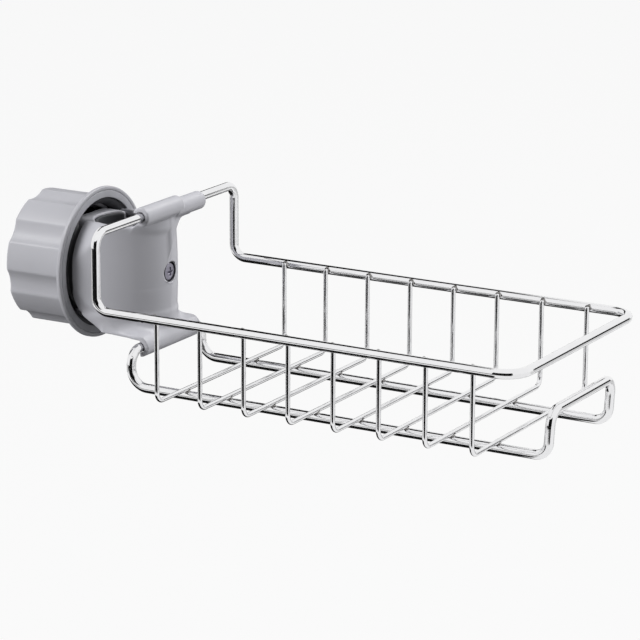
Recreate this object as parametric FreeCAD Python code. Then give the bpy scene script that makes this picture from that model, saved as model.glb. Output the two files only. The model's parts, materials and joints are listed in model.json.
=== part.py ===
import FreeCAD, Part
import math
import os

# Sponge holder: a wire basket carried by a two-jaw screw clamp.
# Millimetres. The origin is on the clamp bore's axis at the clamp's middle height, +Z runs up the
# bore, and +X points from the bore along the basket to its free end.

Vector = FreeCAD.Vector
AXIS_X = Vector(1, 0, 0)
AXIS_Y = Vector(0, 1, 0)
AXIS_Z = Vector(0, 0, 1)

# Shared by all cuts
overrun = 6.0

# Clamp bore and the clearances that the clamp's pieces share
bore_diameter = 25.4
bore_fit = 0.1
slot_fit = 0.5
seat_fit = 0.05
guide_fit = 0.35
running_fit = 0.08
turning_gap = 0.3

# Basket wires
wire_diameter = 4.0
cross_wire_diameter = 2.0
weld_gap = 0.05

# Basket rim, its risers and the upper bar that hangs in the clamp
bar_setback = 1.9
rim_level = -5.0
basket_length = 194.7
basket_width = 110.0
riser_height = 32.7
rim_corner_radius = 10.0
riser_bend_radius = 6.0

# Basket floor, made of bent cross wires
basket_depth = 36.2
cross_wire_count = 8
first_cross_wire = 27.7
last_cross_wire_margin = 20.7
cross_wire_bend_radius = 4.0
leg_tip_rise = 1.0

# Rails under the floor, their raised free end and the lower bar at the clamp
rail_spacing = 56.4
rail_end_overhang = 1.1
rail_end_rise = 18.6
rail_end_lean = 1.0
rail_end_bend_radius = 6.0
lower_bar_setback = 0.5
lower_bar_drop = 7.45
lower_bar_bend_share = 0.425
rail_root_bend_share = 0.523

# Grip pad that lines the front jaw
grip_pad_thickness = 1.6
grip_pad_arc = 150.0
grip_pad_lip_height = 1.2
grip_pad_lip_width = 1.8
grip_pad_lip_arc = 110.0

# Clamp bracket, the outer shell of the front jaw
bracket_height = 43.0
bracket_rear = -13.0
bracket_nose_flare = 6.6
bracket_nose_wall = 4.4
bracket_side_wall = 1.6
bracket_roof = 1.5
bracket_shoulder = 0.2

# Clips on the bracket that hold the two bars
clip_fit = 0.25
clip_wall = 1.95
clip_mouth = 3.0
upper_clip_front = -21.0
upper_clip_seam = 8.0
upper_clip_back = 25.5
upper_clip_step = 0.2
upper_clip_drop = 1.2
upper_corbel_front = -19.0
upper_corbel_back = 12.0
upper_corbel_bite = 2.55
gusset_back = 21.0
gusset_depth = 6.5
gusset_tip_depth = 3.0
gusset_thickness = 4.0
lower_clip_half_length = 21.5
canopy_inset = 2.8
canopy_root_rear = -6.5
canopy_rear = 0.6
canopy_bite = 2.5
canopy_edge = 1.5
canopy_gap = 0.7
foot_start = -8.0
foot_inset = 2.3
foot_heel = -15.2
foot_rear = 0.0
foot_edge = 1.0

# Screw that joins the bracket to the fork
screw_recess_diameter = 9.4
screw_recess_depth = 2.3
screw_head_diameter = 7.6
screw_head_height = 1.6
screw_shank_diameter = 3.5
screw_tip_gap = 0.15
washer_diameter = 8.8
washer_thickness = 0.5
drive_slot_width = 1.1
drive_slot_length = 4.4
drive_slot_depth = 0.7

# Fork that carries the thread
fork_web = 3.05
fork_end_gap = 7.0
fork_thread_setback = 3.0

# Thread between fork and knob
thread_pitch = 5.0
thread_height = 1.3
thread_root_width = 2.0
thread_crest_width = 1.0
thread_gap = 0.35
thread_overlap = 0.6

# Knob
knob_gap = 1.2
knob_length = 29.7
knob_radius = 28.9
knob_wall = 4.3
knob_end_wall = 2.5
knob_end_round = 2.0
knob_flange_reach = 4.1
knob_flange_thickness = 2.4
knob_mouth_fit = 0.7
knob_mouth_chamfer = 2.8
flute_count = 8
flute_depth = 1.6
flute_radius = 12.5
flute_start_angle = 13.0
knob_boss_radius = 6.0
knob_travel = 3.3

# Soft ring on the knob's flange
flange_ring_thickness = 1.0
flange_ring_margin = 0.8

# Saddle that the knob pushes, its pad and its pivot screw
saddle_thickness = 5.6
saddle_wing = 11.0
saddle_pad_thickness = 1.6
saddle_pad_arc = 100.0
saddle_pad_margin = 0.8
saddle_corner_radius = 3.0
pivot_screw_diameter = 4.0
pivot_head_diameter = 8.0
pivot_head_height = 2.2
pivot_screw_grip = 11.0

# Sizes that follow from the ones above
wire_radius = wire_diameter / 2
cross_wire_radius = cross_wire_diameter / 2
bore_radius = bore_diameter / 2
pad_inner_radius = bore_radius + bore_fit
pad_outer_radius = pad_inner_radius + grip_pad_thickness
pad_lip_radius = pad_outer_radius + grip_pad_lip_width
fork_bore_radius = pad_outer_radius + seat_fit
slot_half_width = bore_radius + slot_fit
knob_thread_root_radius = knob_radius - knob_wall
thread_crest_radius = knob_thread_root_radius - thread_gap
fork_radius = thread_crest_radius - thread_height
knob_thread_crest_radius = fork_radius + thread_gap
socket_half_width = fork_radius + seat_fit
socket_nose = fork_bore_radius + fork_web
bracket_half_height = bracket_height / 2
bracket_half_width = socket_half_width + bracket_side_wall
bracket_nose = socket_nose + bracket_nose_wall
bracket_nose_radius = bracket_half_width - bracket_nose_flare
socket_nose_radius = bracket_nose_radius - bracket_side_wall
canopy_half_width = bracket_half_width - canopy_inset
foot_half_width = bracket_half_width - foot_inset
screw_seat = bracket_nose - screw_recess_depth
bar_reach = bracket_nose - bar_setback
upper_bar_level = rim_level + riser_height
floor_level = rim_level - basket_depth
rail_level = floor_level - cross_wire_radius - wire_radius - weld_gap
lower_bar_level = -bracket_half_height - lower_bar_drop
lower_bar_rise = lower_bar_level - rail_level
lower_bar_reach = bar_reach - lower_bar_setback
basket_end = bar_reach + basket_length
cross_wire_pitch = (basket_length - first_cross_wire - last_cross_wire_margin) / (cross_wire_count - 1)
leg_offset = basket_width / 2 - wire_radius - cross_wire_radius - weld_gap
clip_bore_radius = wire_radius + clip_fit
clip_radius = clip_bore_radius + clip_wall
canopy_bottom = lower_bar_level + clip_bore_radius + canopy_gap
saddle_bore_radius = pad_inner_radius + saddle_pad_thickness + seat_fit
saddle_front = -saddle_bore_radius
saddle_back = saddle_front - saddle_thickness
saddle_half_width = slot_half_width - guide_fit
knob_front = bracket_rear - knob_gap
knob_end = knob_front - knob_length
knob_floor = knob_end + knob_end_wall
knob_shoulder = saddle_back - 2 * turning_gap
knob_flange_radius = knob_radius + knob_flange_reach
knob_mouth_radius = bracket_half_width + knob_mouth_fit
knob_reach = knob_front + flange_ring_thickness + knob_travel + running_fit
saddle_corner_reach = knob_mouth_radius - 2 * turning_gap - saddle_corner_radius
saddle_corner_offset = saddle_half_width - saddle_corner_radius
saddle_corner_rise = math.sqrt(saddle_corner_reach ** 2 - saddle_corner_offset ** 2)
saddle_half_height = min(saddle_corner_radius + saddle_corner_rise, bracket_half_height - guide_fit)
fork_rear = knob_floor + fork_end_gap
fork_thread_start = bracket_rear - fork_thread_setback


def box(x_span, y_span, z_span):
    """Block between three pairs of low and high limits."""
    low = Vector(x_span[0], y_span[0], z_span[0])
    return Part.makeBox(x_span[1] - x_span[0], y_span[1] - y_span[0], z_span[1] - z_span[0], low)


def cylinder_x(radius, start, end):
    """Cylinder on the clamp's screw axis."""
    return Part.makeCylinder(radius, end - start, Vector(start, 0, 0), AXIS_X)


def cylinder_y(radius, x, z, start, end):
    """Cylinder along a bar of the basket."""
    return Part.makeCylinder(radius, end - start, Vector(x, start, z), AXIS_Y)


def cylinder_z(radius, start, end):
    """Cylinder on the clamp bore's axis."""
    return Part.makeCylinder(radius, end - start, Vector(0, 0, start), AXIS_Z)


def sector(inner, outer, arc, low, high):
    """Ring segment round the bore axis, centred on +X."""
    half = math.radians(arc) / 2
    corners = []
    for radius, angle in ((inner, -half), (outer, -half), (outer, half), (inner, half)):
        corners.append(Vector(radius * math.cos(angle), radius * math.sin(angle), low))
    edges = [
        Part.LineSegment(corners[0], corners[1]).toShape(),
        Part.Arc(corners[1], Vector(outer, 0, low), corners[2]).toShape(),
        Part.LineSegment(corners[2], corners[3]).toShape(),
        Part.Arc(corners[3], Vector(inner, 0, low), corners[0]).toShape(),
    ]
    return Part.Face(Part.Wire(edges)).extrude(Vector(0, 0, high - low))


def bullet_outline(nose, rear, half_width, nose_radius, level):
    """Plan with a round nose and two long flank arcs that run square into its rear line."""
    run = nose - nose_radius - rear
    flank_radius = (run ** 2 + half_width ** 2 - nose_radius ** 2) / (2 * (half_width - nose_radius))
    lean = Vector(run, flank_radius - half_width, 0).normalize()
    join = Vector(nose - nose_radius, 0, level) + lean * nose_radius
    flank_centre = Vector(rear, half_width - flank_radius, level)
    flank_middle = flank_centre + (lean + AXIS_Y).normalize() * flank_radius
    heel = Vector(rear, half_width, level)

    def mirrored(point):
        return Vector(point.x, -point.y, point.z)

    return Part.Wire([
        Part.Arc(heel, flank_middle, join).toShape(),
        Part.Arc(join, Vector(nose, 0, level), mirrored(join)).toShape(),
        Part.Arc(mirrored(join), mirrored(flank_middle), mirrored(heel)).toShape(),
        Part.LineSegment(mirrored(heel), heel).toShape(),
    ])


def bullet(nose, rear, half_width, nose_radius, low, high, shoulder=0):
    """Upright body on the bullet plan, rounded over about the screw axis."""
    outline = bullet_outline(nose, rear, half_width, nose_radius, low)
    body = Part.Face(outline).extrude(Vector(0, 0, high - low))
    return body.common(cylinder_x(half_width + shoulder, rear, nose))


def canopy_body():
    """Flared foot of the bracket that reaches out to the lower clip."""
    edge_level = canopy_bottom + canopy_edge
    front = lower_bar_reach
    half = canopy_half_width
    root = bullet_outline(bracket_nose - bracket_side_wall, canopy_root_rear, half, bracket_nose_radius,
                          canopy_bite - bracket_half_height)
    corners = [(canopy_rear, half), (front, half), (front, -half), (canopy_rear, -half), (canopy_rear, half)]
    outline = Part.makePolygon([Vector(x, y, edge_level) for x, y in corners])
    flare = Part.makeLoft([root, outline], True, True)
    return flare.multiFuse([box((canopy_rear, front), (-half, half), (canopy_bottom, edge_level)), foot_body()])


def foot_body():
    """Lower side walls of the bracket, whose sloping heel clears the knob."""
    outline = bullet_outline(bracket_nose - bracket_side_wall, bracket_rear, foot_half_width, bracket_nose_radius,
                             canopy_bottom)
    walls = Part.Face(outline).extrude(Vector(0, 0, foot_start - canopy_bottom))
    corners = [
        (bracket_rear, foot_start),
        (bracket_rear, foot_heel),
        (foot_rear, canopy_bottom + foot_edge),
        (lower_bar_reach, canopy_bottom),
        (lower_bar_reach, foot_start),
        (bracket_rear, foot_start),
    ]
    side = Part.makePolygon([Vector(x, -foot_half_width, z) for x, z in corners])
    half = walls.common(Part.Face(side).extrude(Vector(0, foot_half_width, 0)))
    for room in knob_room():
        half = half.cut(room)
    return half.fuse(half.mirror(Vector(0, 0, 0), AXIS_Y)).removeSplitter()


def knob_room():
    """Two tubes round the space that the knob's mouth and ring take when the clamp is fully closed."""
    mouth = knob_mouth_radius - running_fit
    front = knob_front + knob_travel
    far = 2 * knob_flange_radius
    spans = ((mouth, knob_end, front), (mouth + knob_mouth_chamfer, front, knob_reach))
    return [cylinder_x(far, start, end).cut(cylinder_x(radius, start, end)) for radius, start, end in spans]


def bore_slot(low, high):
    """Seat of the grip pad, and the way behind it that the clamped rod comes in by."""
    way = box((knob_end, 0), (-slot_half_width, slot_half_width), (low, high))
    return cylinder_z(fork_bore_radius, low, high).fuse(way)


def dome(y_start, y_end, level, crown, x_start, x_end):
    """Body along X whose section is an arc over a straight base line."""
    start = Vector(x_start, y_start, level)
    end = Vector(x_start, y_end, level)
    top = Vector(x_start, (y_start + y_end) / 2, crown)
    edges = [Part.Arc(start, top, end).toShape(), Part.LineSegment(end, start).toShape()]
    return Part.Face(Part.Wire(edges)).extrude(Vector(x_end - x_start, 0, 0))


def bend(before, corner, after, radius):
    """Tangent points and middle of the arc that rounds one corner of a wire's path."""
    back = (before - corner).normalize()
    ahead = (after - corner).normalize()
    half_angle = back.getAngle(ahead) / 2
    inward = (back + ahead).normalize()
    setback = radius / math.tan(half_angle)
    centre = corner + inward * (radius / math.sin(half_angle))
    return corner + back * setback, centre - inward * radius, corner + ahead * setback


def tube(edges, start, direction, radius):
    """Round wire of one radius along a path of straight runs and tangent arcs."""
    section = Part.Wire(Part.Circle(start, direction, radius).toShape())
    return Part.Wire(edges).makePipeShell([section], True, False)


def closed_wire(corners, radii, radius):
    """Wire loop through the corners, butt welded in the middle of its last run."""
    count = len(corners)
    start = (corners[-1] + corners[0]) * 0.5
    edges = []
    place = start
    for index in range(count):
        first, middle, last = bend(corners[index - 1], corners[index], corners[(index + 1) % count], radii[index])
        edges.append(Part.LineSegment(place, first).toShape())
        edges.append(Part.Arc(first, middle, last).toShape())
        place = last
    edges.append(Part.LineSegment(place, start).toShape())
    return tube(edges, start, corners[0] - corners[-1], radius)


def open_wire(corners, bend_radius, radius):
    """Wire with two free ends through the corners."""
    edges = []
    place = corners[0]
    for before, corner, after in zip(corners, corners[1:], corners[2:]):
        first, middle, last = bend(before, corner, after, bend_radius)
        edges.append(Part.LineSegment(place, first).toShape())
        edges.append(Part.Arc(first, middle, last).toShape())
        place = last
    edges.append(Part.LineSegment(place, corners[-1]).toShape())
    return tube(edges, corners[0], corners[1] - corners[0], radius)


def helical_ridge(root_radius, crest_radius, start, end):
    """Right-hand thread ridge on the screw axis, from a buried root to its crest."""
    outward = 1 if crest_radius > root_radius else -1
    buried_radius = root_radius - outward * thread_overlap
    half_root = thread_root_width / 2
    half_crest = thread_crest_width / 2
    section = [
        (buried_radius, -half_root),
        (crest_radius, -half_crest),
        (crest_radius, half_crest),
        (buried_radius, half_root),
    ]
    curves = []
    for radius, rise in section:
        curve = Part.makeHelix(thread_pitch, end - start, radius)
        curve.translate(Vector(0, 0, rise))
        curves.append(Part.Wire(curve.Edges))
    faces = []
    for curve, following in zip(curves, curves[1:] + curves[:1]):
        faces.extend(Part.makeRuledSurface(curve, following).Faces)
    for end_index in (0, -1):
        points = [curve.OrderedVertexes[end_index].Point for curve in curves]
        faces.append(Part.Face(Part.makePolygon(points + points[:1])))
    shell = Part.Shell(faces)
    shell.sewShape()
    ridge = Part.Solid(shell)
    if ridge.Volume < 0:
        ridge.reverse()
    ridge.rotate(Vector(0, 0, 0), AXIS_Z, 360 * start / thread_pitch)
    ridge.rotate(Vector(0, 0, 0), AXIS_Y, 90)
    ridge.translate(Vector(start, 0, 0))
    return ridge


def cross_slots(face, depth, width, length):
    """Two crossed driver slots, sunk from a screw head's face along the screw axis."""
    span = (face - depth, face + overrun)
    upright = box(span, (-width / 2, width / 2), (-length / 2, length / 2))
    level = box(span, (-length / 2, length / 2), (-width / 2, width / 2))
    return upright.fuse(level)


def make_rim_wire():
    """Basket rim, its two risers and the upper bar, bent from one wire."""
    half = basket_width / 2
    corners = [
        Vector(bar_reach, -half, rim_level),
        Vector(bar_reach, -half, upper_bar_level),
        Vector(bar_reach, half, upper_bar_level),
        Vector(bar_reach, half, rim_level),
        Vector(basket_end, half, rim_level),
        Vector(basket_end, -half, rim_level),
    ]
    radii = [riser_bend_radius] * 4 + [rim_corner_radius] * 2
    return closed_wire(corners, radii, wire_radius)


def make_rail_wire():
    """Two rails with the lower bar at the clamp and a raised bar at the free end."""
    half = rail_spacing / 2
    rail_end = basket_end + rail_end_overhang
    end_bar = rail_end + rail_end_lean
    end_bar_level = rail_level + rail_end_rise
    corners = [
        Vector(lower_bar_reach, -half, rail_level),
        Vector(lower_bar_reach, -half, lower_bar_level),
        Vector(lower_bar_reach, half, lower_bar_level),
        Vector(lower_bar_reach, half, rail_level),
        Vector(rail_end, half, rail_level),
        Vector(end_bar, half, end_bar_level),
        Vector(end_bar, -half, end_bar_level),
        Vector(rail_end, -half, rail_level),
    ]
    root = lower_bar_rise * rail_root_bend_share
    upper = lower_bar_rise * lower_bar_bend_share
    radii = [root, upper, upper, root] + [rail_end_bend_radius] * 4
    return closed_wire(corners, radii, wire_radius)


def make_cross_wire(index):
    """One U of thin wire: a leg, the floor run across both rails, and the other leg."""
    x = bar_reach + first_cross_wire + index * cross_wire_pitch
    tip = rim_level + leg_tip_rise
    corners = [
        Vector(x, -leg_offset, tip),
        Vector(x, -leg_offset, floor_level),
        Vector(x, leg_offset, floor_level),
        Vector(x, leg_offset, tip),
    ]
    return open_wire(corners, cross_wire_bend_radius, cross_wire_radius)


def make_bracket():
    """Outer shell of the front jaw, with a clip above and a hooked clip below."""
    top = bracket_half_height
    crown = upper_bar_level + clip_radius + overrun
    shell = bullet(bracket_nose, bracket_rear, bracket_half_width, bracket_nose_radius, -top, top, bracket_shoulder)

    corbel_top = upper_bar_level - clip_bore_radius
    corbel = dome(upper_corbel_front, upper_corbel_back, corbel_top, top - upper_corbel_bite,
                  bar_reach - clip_radius, bar_reach + clip_bore_radius / 2)
    gusset_x = bar_reach - gusset_thickness / 2
    gusset_corners = [(0, -gusset_depth), (gusset_back, -gusset_tip_depth), (gusset_back, 0), (0, 0)]
    gusset_points = [Vector(gusset_x, y, corbel_top + z) for y, z in gusset_corners]
    gusset_outline = Part.makePolygon(gusset_points + gusset_points[:1])
    gusset = Part.Face(gusset_outline).extrude(Vector(gusset_thickness, 0, 0))
    upper_clip = cylinder_y(clip_radius, bar_reach, upper_bar_level, upper_clip_front, upper_clip_seam)
    slim_clip = cylinder_y(clip_radius - upper_clip_step, bar_reach, upper_bar_level - upper_clip_drop,
                           upper_clip_seam, upper_clip_back)
    hook = cylinder_y(clip_radius, lower_bar_reach, lower_bar_level,
                      -lower_clip_half_length, lower_clip_half_length)
    body = shell.multiFuse([corbel, gusset, upper_clip, slim_clip, canopy_body(), hook])

    socket = bullet(socket_nose, bracket_rear, socket_half_width, socket_nose_radius, -top, top - bracket_roof,
                    bracket_shoulder)
    slot = bore_slot(canopy_bottom - overrun, crown)
    lip_room = cylinder_z(pad_lip_radius + seat_fit, top, crown)
    upper_span = (upper_clip_front - overrun, upper_clip_back + overrun)
    lower_span = (-lower_clip_half_length - overrun, lower_clip_half_length + overrun)
    upper_bore = cylinder_y(clip_bore_radius, bar_reach, upper_bar_level, *upper_span)
    upper_mouth = box((bar_reach - clip_radius - overrun, bar_reach), upper_span,
                      (upper_bar_level - clip_mouth / 2, upper_bar_level + clip_mouth / 2))
    lower_bore = cylinder_y(clip_bore_radius, lower_bar_reach, lower_bar_level, *lower_span)
    lower_mouth = box((lower_bar_reach - clip_radius - overrun, lower_bar_reach), lower_span,
                      (lower_bar_level - clip_radius - overrun, lower_bar_level + clip_bore_radius))
    recess = cylinder_x(screw_recess_diameter / 2, screw_seat, bracket_nose + overrun)
    screw_hole = cylinder_x(screw_shank_diameter / 2 + running_fit, 0, bracket_nose)
    return body.cut([socket, slot, lip_room, upper_bore, upper_mouth, lower_bore, lower_mouth, recess,
                     screw_hole])


def make_fork():
    """Inner jaw: a web round the bore's front and two threaded arms that reach into the knob."""
    top = bracket_half_height - seat_fit
    front = bullet(socket_nose - seat_fit, bracket_rear, fork_radius, socket_nose_radius, -top, top - bracket_roof)
    ridge = helical_ridge(fork_radius, thread_crest_radius, fork_rear, fork_thread_start)
    arms = cylinder_x(fork_radius, fork_rear, bracket_rear).fuse(ridge)
    rear_trim = cylinder_x(knob_radius, fork_rear - overrun, fork_rear)
    slot = bore_slot(-bracket_height, bracket_height)
    pilot = cylinder_x(screw_shank_diameter / 2 + seat_fit, 0, socket_nose)
    return front.cut([slot, pilot]).fuse(arms.cut([slot, rear_trim])).removeSplitter()


def make_grip_pad():
    """Rubber lining of the front jaw, with a lip over the fork's top."""
    lip_low = bracket_half_height
    lip_high = lip_low + grip_pad_lip_height
    lining = sector(pad_inner_radius, pad_outer_radius, grip_pad_arc, -lip_high, lip_high)
    lip = sector(pad_inner_radius, pad_lip_radius, grip_pad_lip_arc, lip_low, lip_high)
    return lining.fuse(lip)


def make_bracket_screw():
    """Cross-recessed screw that holds the bracket on the fork."""
    head_seat = screw_seat + washer_thickness
    face = head_seat + screw_head_height
    head = cylinder_x(screw_head_diameter / 2, head_seat, face)
    shank = cylinder_x(screw_shank_diameter / 2, fork_bore_radius + screw_tip_gap, head_seat)
    return head.fuse(shank).cut(cross_slots(face, drive_slot_depth, drive_slot_width, drive_slot_length))


def make_screw_washer():
    """Plain washer under the bracket screw's head."""
    end = screw_seat + washer_thickness
    ring = cylinder_x(washer_diameter / 2, screw_seat, end)
    return ring.cut(cylinder_x(screw_shank_diameter / 2 + running_fit, screw_seat - overrun, end + overrun))


def make_knob():
    """Fluted hand knob with a wide flange, an inner thread and a pivot boss."""
    back = knob_front - knob_flange_thickness
    grip = cylinder_x(knob_radius, knob_end, back)
    rear_edges = [edge for edge in grip.Edges if edge.BoundBox.XMax < knob_floor and edge.Closed]
    grip = grip.makeFillet(knob_end_round, rear_edges)
    flute_centre = knob_radius - flute_depth + flute_radius
    flutes = []
    for index in range(flute_count):
        angle = math.radians(flute_start_angle + index * 360 / flute_count)
        place = Vector(knob_end - overrun, flute_centre * math.cos(angle), flute_centre * math.sin(angle))
        flutes.append(Part.makeCylinder(flute_radius, back - knob_end + overrun, place, AXIS_X))
    flange = cylinder_x(knob_flange_radius, back, knob_front)
    outside = grip.cut(flutes).fuse(flange)

    mouth = cylinder_x(knob_mouth_radius, knob_shoulder, knob_front + overrun)
    chamfer = Part.makeCone(knob_mouth_radius, knob_mouth_radius + knob_mouth_chamfer, knob_mouth_chamfer,
                            Vector(knob_front - knob_mouth_chamfer, 0, 0), AXIS_X)
    hollow = cylinder_x(knob_thread_root_radius, knob_floor, knob_shoulder)
    shell = outside.cut([mouth, chamfer, hollow])

    ridge = helical_ridge(knob_thread_root_radius, knob_thread_crest_radius, knob_floor, knob_shoulder)
    ridge.translate(AXIS_X * (thread_pitch / 2))
    ridge = ridge.common(cylinder_x(knob_radius, knob_floor, knob_shoulder))
    boss = cylinder_x(knob_boss_radius, knob_floor - knob_end_wall / 2, saddle_back - turning_gap)
    pilot_end = saddle_back - pivot_screw_grip - turning_gap
    pilot = cylinder_x(pivot_screw_diameter / 2 + seat_fit, pilot_end, saddle_back)
    return shell.fuse(ridge).fuse(boss).cut(pilot)


def make_flange_ring():
    """Soft ring on the front of the knob's flange."""
    end = knob_front + flange_ring_thickness
    ring = cylinder_x(knob_flange_radius - flange_ring_margin, knob_front, end)
    opening = cylinder_x(knob_mouth_radius + knob_mouth_chamfer, knob_front - overrun, end + overrun)
    return ring.cut(opening)


def make_saddle():
    """Hollow rear jaw that slides between the fork's arms and does not turn with the knob."""
    block = box((saddle_back, saddle_back + saddle_wing), (-saddle_half_width, saddle_half_width),
                (-saddle_half_height, saddle_half_height))
    block = block.makeFillet(saddle_corner_radius, [edge for edge in block.Edges if edge.BoundBox.XLength > 0])
    hollow = cylinder_z(saddle_bore_radius, -bracket_height, bracket_height)
    hole = cylinder_x(pivot_screw_diameter / 2 + running_fit, saddle_back - overrun, saddle_front)
    head_room = cylinder_x(pivot_head_diameter / 2 + turning_gap,
                           saddle_front - pivot_head_height - 2 * turning_gap, saddle_front + overrun)
    return block.cut([hollow, hole, head_room])


def make_saddle_pad():
    """Rubber lining of the rear jaw."""
    half_height = saddle_half_height - saddle_pad_margin
    pad = sector(pad_inner_radius, saddle_bore_radius - seat_fit, saddle_pad_arc, -half_height, half_height)
    pad.rotate(Vector(0, 0, 0), AXIS_Z, 180)
    return pad


def make_pivot_screw():
    """Screw that holds the saddle to the knob's boss and lets the knob turn behind it."""
    face = saddle_front - turning_gap
    seat = face - pivot_head_height
    head = cylinder_x(pivot_head_diameter / 2, seat, face)
    shank = cylinder_x(pivot_screw_diameter / 2, saddle_back - turning_gap - pivot_screw_grip, seat)
    return head.fuse(shank).cut(cross_slots(face, drive_slot_depth, drive_slot_width, drive_slot_length))


def main():
    pieces = {
        "basket_rim_wire": make_rim_wire(),
        "basket_rail_wire": make_rail_wire(),
        "clamp_bracket": make_bracket(),
        "clamp_fork": make_fork(),
        "grip_pad": make_grip_pad(),
        "bracket_screw": make_bracket_screw(),
        "screw_washer": make_screw_washer(),
        "saddle": make_saddle(),
        "saddle_pad": make_saddle_pad(),
        "pivot_screw": make_pivot_screw(),
        "knob": make_knob(),
        "flange_ring": make_flange_ring(),
    }
    for index in range(cross_wire_count):
        pieces["cross_wire_%d" % (index + 1)] = make_cross_wire(index)
    os.makedirs("parts", exist_ok=True)
    for name, shape in pieces.items():
        print(name, shape.isValid(), len(shape.Solids), round(shape.Volume, 1))
        shape.exportStep("parts/%s.step" % name)


main()
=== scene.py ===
import json
import math

import bpy
import numpy as np
from mathutils import Matrix, Vector

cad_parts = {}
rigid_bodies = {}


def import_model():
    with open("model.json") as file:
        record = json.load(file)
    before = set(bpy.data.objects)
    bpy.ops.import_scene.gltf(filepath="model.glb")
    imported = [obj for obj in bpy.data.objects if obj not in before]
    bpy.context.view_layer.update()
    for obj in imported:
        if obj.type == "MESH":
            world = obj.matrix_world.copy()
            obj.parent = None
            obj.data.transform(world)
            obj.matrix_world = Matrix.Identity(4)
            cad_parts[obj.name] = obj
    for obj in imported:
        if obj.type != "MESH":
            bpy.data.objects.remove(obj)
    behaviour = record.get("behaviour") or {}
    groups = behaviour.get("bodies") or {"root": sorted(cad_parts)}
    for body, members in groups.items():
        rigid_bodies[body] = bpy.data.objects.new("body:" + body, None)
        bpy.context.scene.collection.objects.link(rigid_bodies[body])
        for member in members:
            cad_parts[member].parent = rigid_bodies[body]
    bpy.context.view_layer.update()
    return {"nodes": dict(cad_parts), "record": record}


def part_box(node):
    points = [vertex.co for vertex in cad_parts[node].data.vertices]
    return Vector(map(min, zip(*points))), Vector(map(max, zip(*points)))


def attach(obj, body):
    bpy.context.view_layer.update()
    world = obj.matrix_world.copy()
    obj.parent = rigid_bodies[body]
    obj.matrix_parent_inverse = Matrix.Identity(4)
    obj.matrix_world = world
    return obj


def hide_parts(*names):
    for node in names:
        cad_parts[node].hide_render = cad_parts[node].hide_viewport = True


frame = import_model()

bl_info = {
    "name": "Sponge holder",
    "version": (1, 0, 0),
    "blender": (4, 5, 0),
    "location": "View3D > Sidebar > Sponge holder",
    "description": "Finished pieces of a wire sponge holder with a screw clamp, built round its packed frame",
    "category": "Object",
}

HOLDER = "holder"
SADDLE = "saddle"
KNOB = "knob"
CROSS_WIRES = sorted(name for name in frame["nodes"] if name.startswith("cross_wire_"))

# Mesh counts and lengths that only the meshing needs
WIRE_SIDES, CROSS_SIDES = 48, 32
BEND_STEPS = 14
RUN_HOLD = 0.001
RING_SIDES, WASHER_SIDES = 160, 96
NUGGET_SIDES, NUGGET_LEVELS = 28, 7
NUGGET_FLARE, NUGGET_WAIST, NUGGET_SPREAD, NUGGET_BITE = 1.12, 0.42, 0.9, 0.12
COARSE_RIPPLE, FINE_RIPPLE = 0.07, 0.04
GRID_MARGIN = 3
SETTLE_ROUNDS, PROBES_PER_STEP, FLATTEST_SLOPE = 4, 20, 0.05
BRACKET_ROOM = 0.001
CANOPY_FLARE = 1.5
DRIVE_SHARE = 0.85
# A direction that no wire runs along, which starts the ring of vertices
RING_START = (0.31, 0.52, 0.79)

# Stage: the sensor in millimetres, the floor, the cards and the lamps
SENSOR_WIDTH = 36.0
WHITE = (1, 1, 1, 1)
FLOOR_TONES, FLOOR_WHITE = (0.24, 0.28), 0.93
CARD_LIFT, DARK_CARD, GREY_CARD = 0.004, 0.006, 0.40
LAMP_AIM = (0.06, 0.0, 0.0)
# Each lamp: its name, place, side in metres, power in watts, and whether gloss shows it
LAMPS = (
    ("key", (-0.95, -1.30, 0.55), 1.0, 27.0, False),
    ("crown", (-0.84, -0.78, 1.32), 0.6, 12.0, True),
    ("top", (0.60, 0.90, 1.30), 1.0, 21.0, True),
    ("right", (1.35, 0.80, 0.55), 0.8, 16.0, False),
)


# Settings that a user would change

def length(name, description, default):
    """A size in metres."""
    return bpy.props.FloatProperty(name=name, description=description, default=default, unit="LENGTH", precision=5)


def angle(name, description, degrees):
    """An angle, given in degrees and kept in radians."""
    return bpy.props.FloatProperty(name=name, description=description, default=math.radians(degrees),
                                   subtype="ANGLE")


def share(name, description, default):
    """A plain factor."""
    return bpy.props.FloatProperty(name=name, description=description, default=default, subtype="FACTOR")


def colour(name, description, default):
    """A linear colour."""
    return bpy.props.FloatVectorProperty(name=name, description=description, default=default, size=3,
                                         subtype="COLOR", min=0, max=1)


class WireSettings(bpy.types.PropertyGroup):
    """Sizes of the basket's wires and welds."""
    main_diameter: length("Main wire", "Diameter of the rim and rail wires", 0.004)
    cross_diameter: length("Cross wire", "Diameter of the cross wires", 0.002)
    riser_bend: length("Riser bend", "Centre-line radius where the rim turns up to the upper bar", 0.006)
    rim_corner: length("Rim corner", "Centre-line radius of the rim's free corners", 0.010)
    rail_end_bend: length("Rail end bend", "Centre-line radius of the raised end of the rails", 0.006)
    rail_end_lean: length("Rail end lean", "How far the raised end leans outwards", 0.001)
    lower_bar_bend: share("Lower bar bend", "Bend at the lower bar, as a share of its rise", 0.425)
    rail_root_bend: share("Rail root bend", "Bend at the rails' root, as a share of the bar's rise", 0.523)
    cross_bend: length("Cross wire bend", "Centre-line radius of a cross wire's two bends", 0.004)
    tip_chamfer: length("Tip chamfer", "Chamfer on a cross wire's cut ends", 0.00025)
    weld_depth: length("Weld depth", "Gap between two crossing wires that the weld fills", 0.0006)


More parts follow.
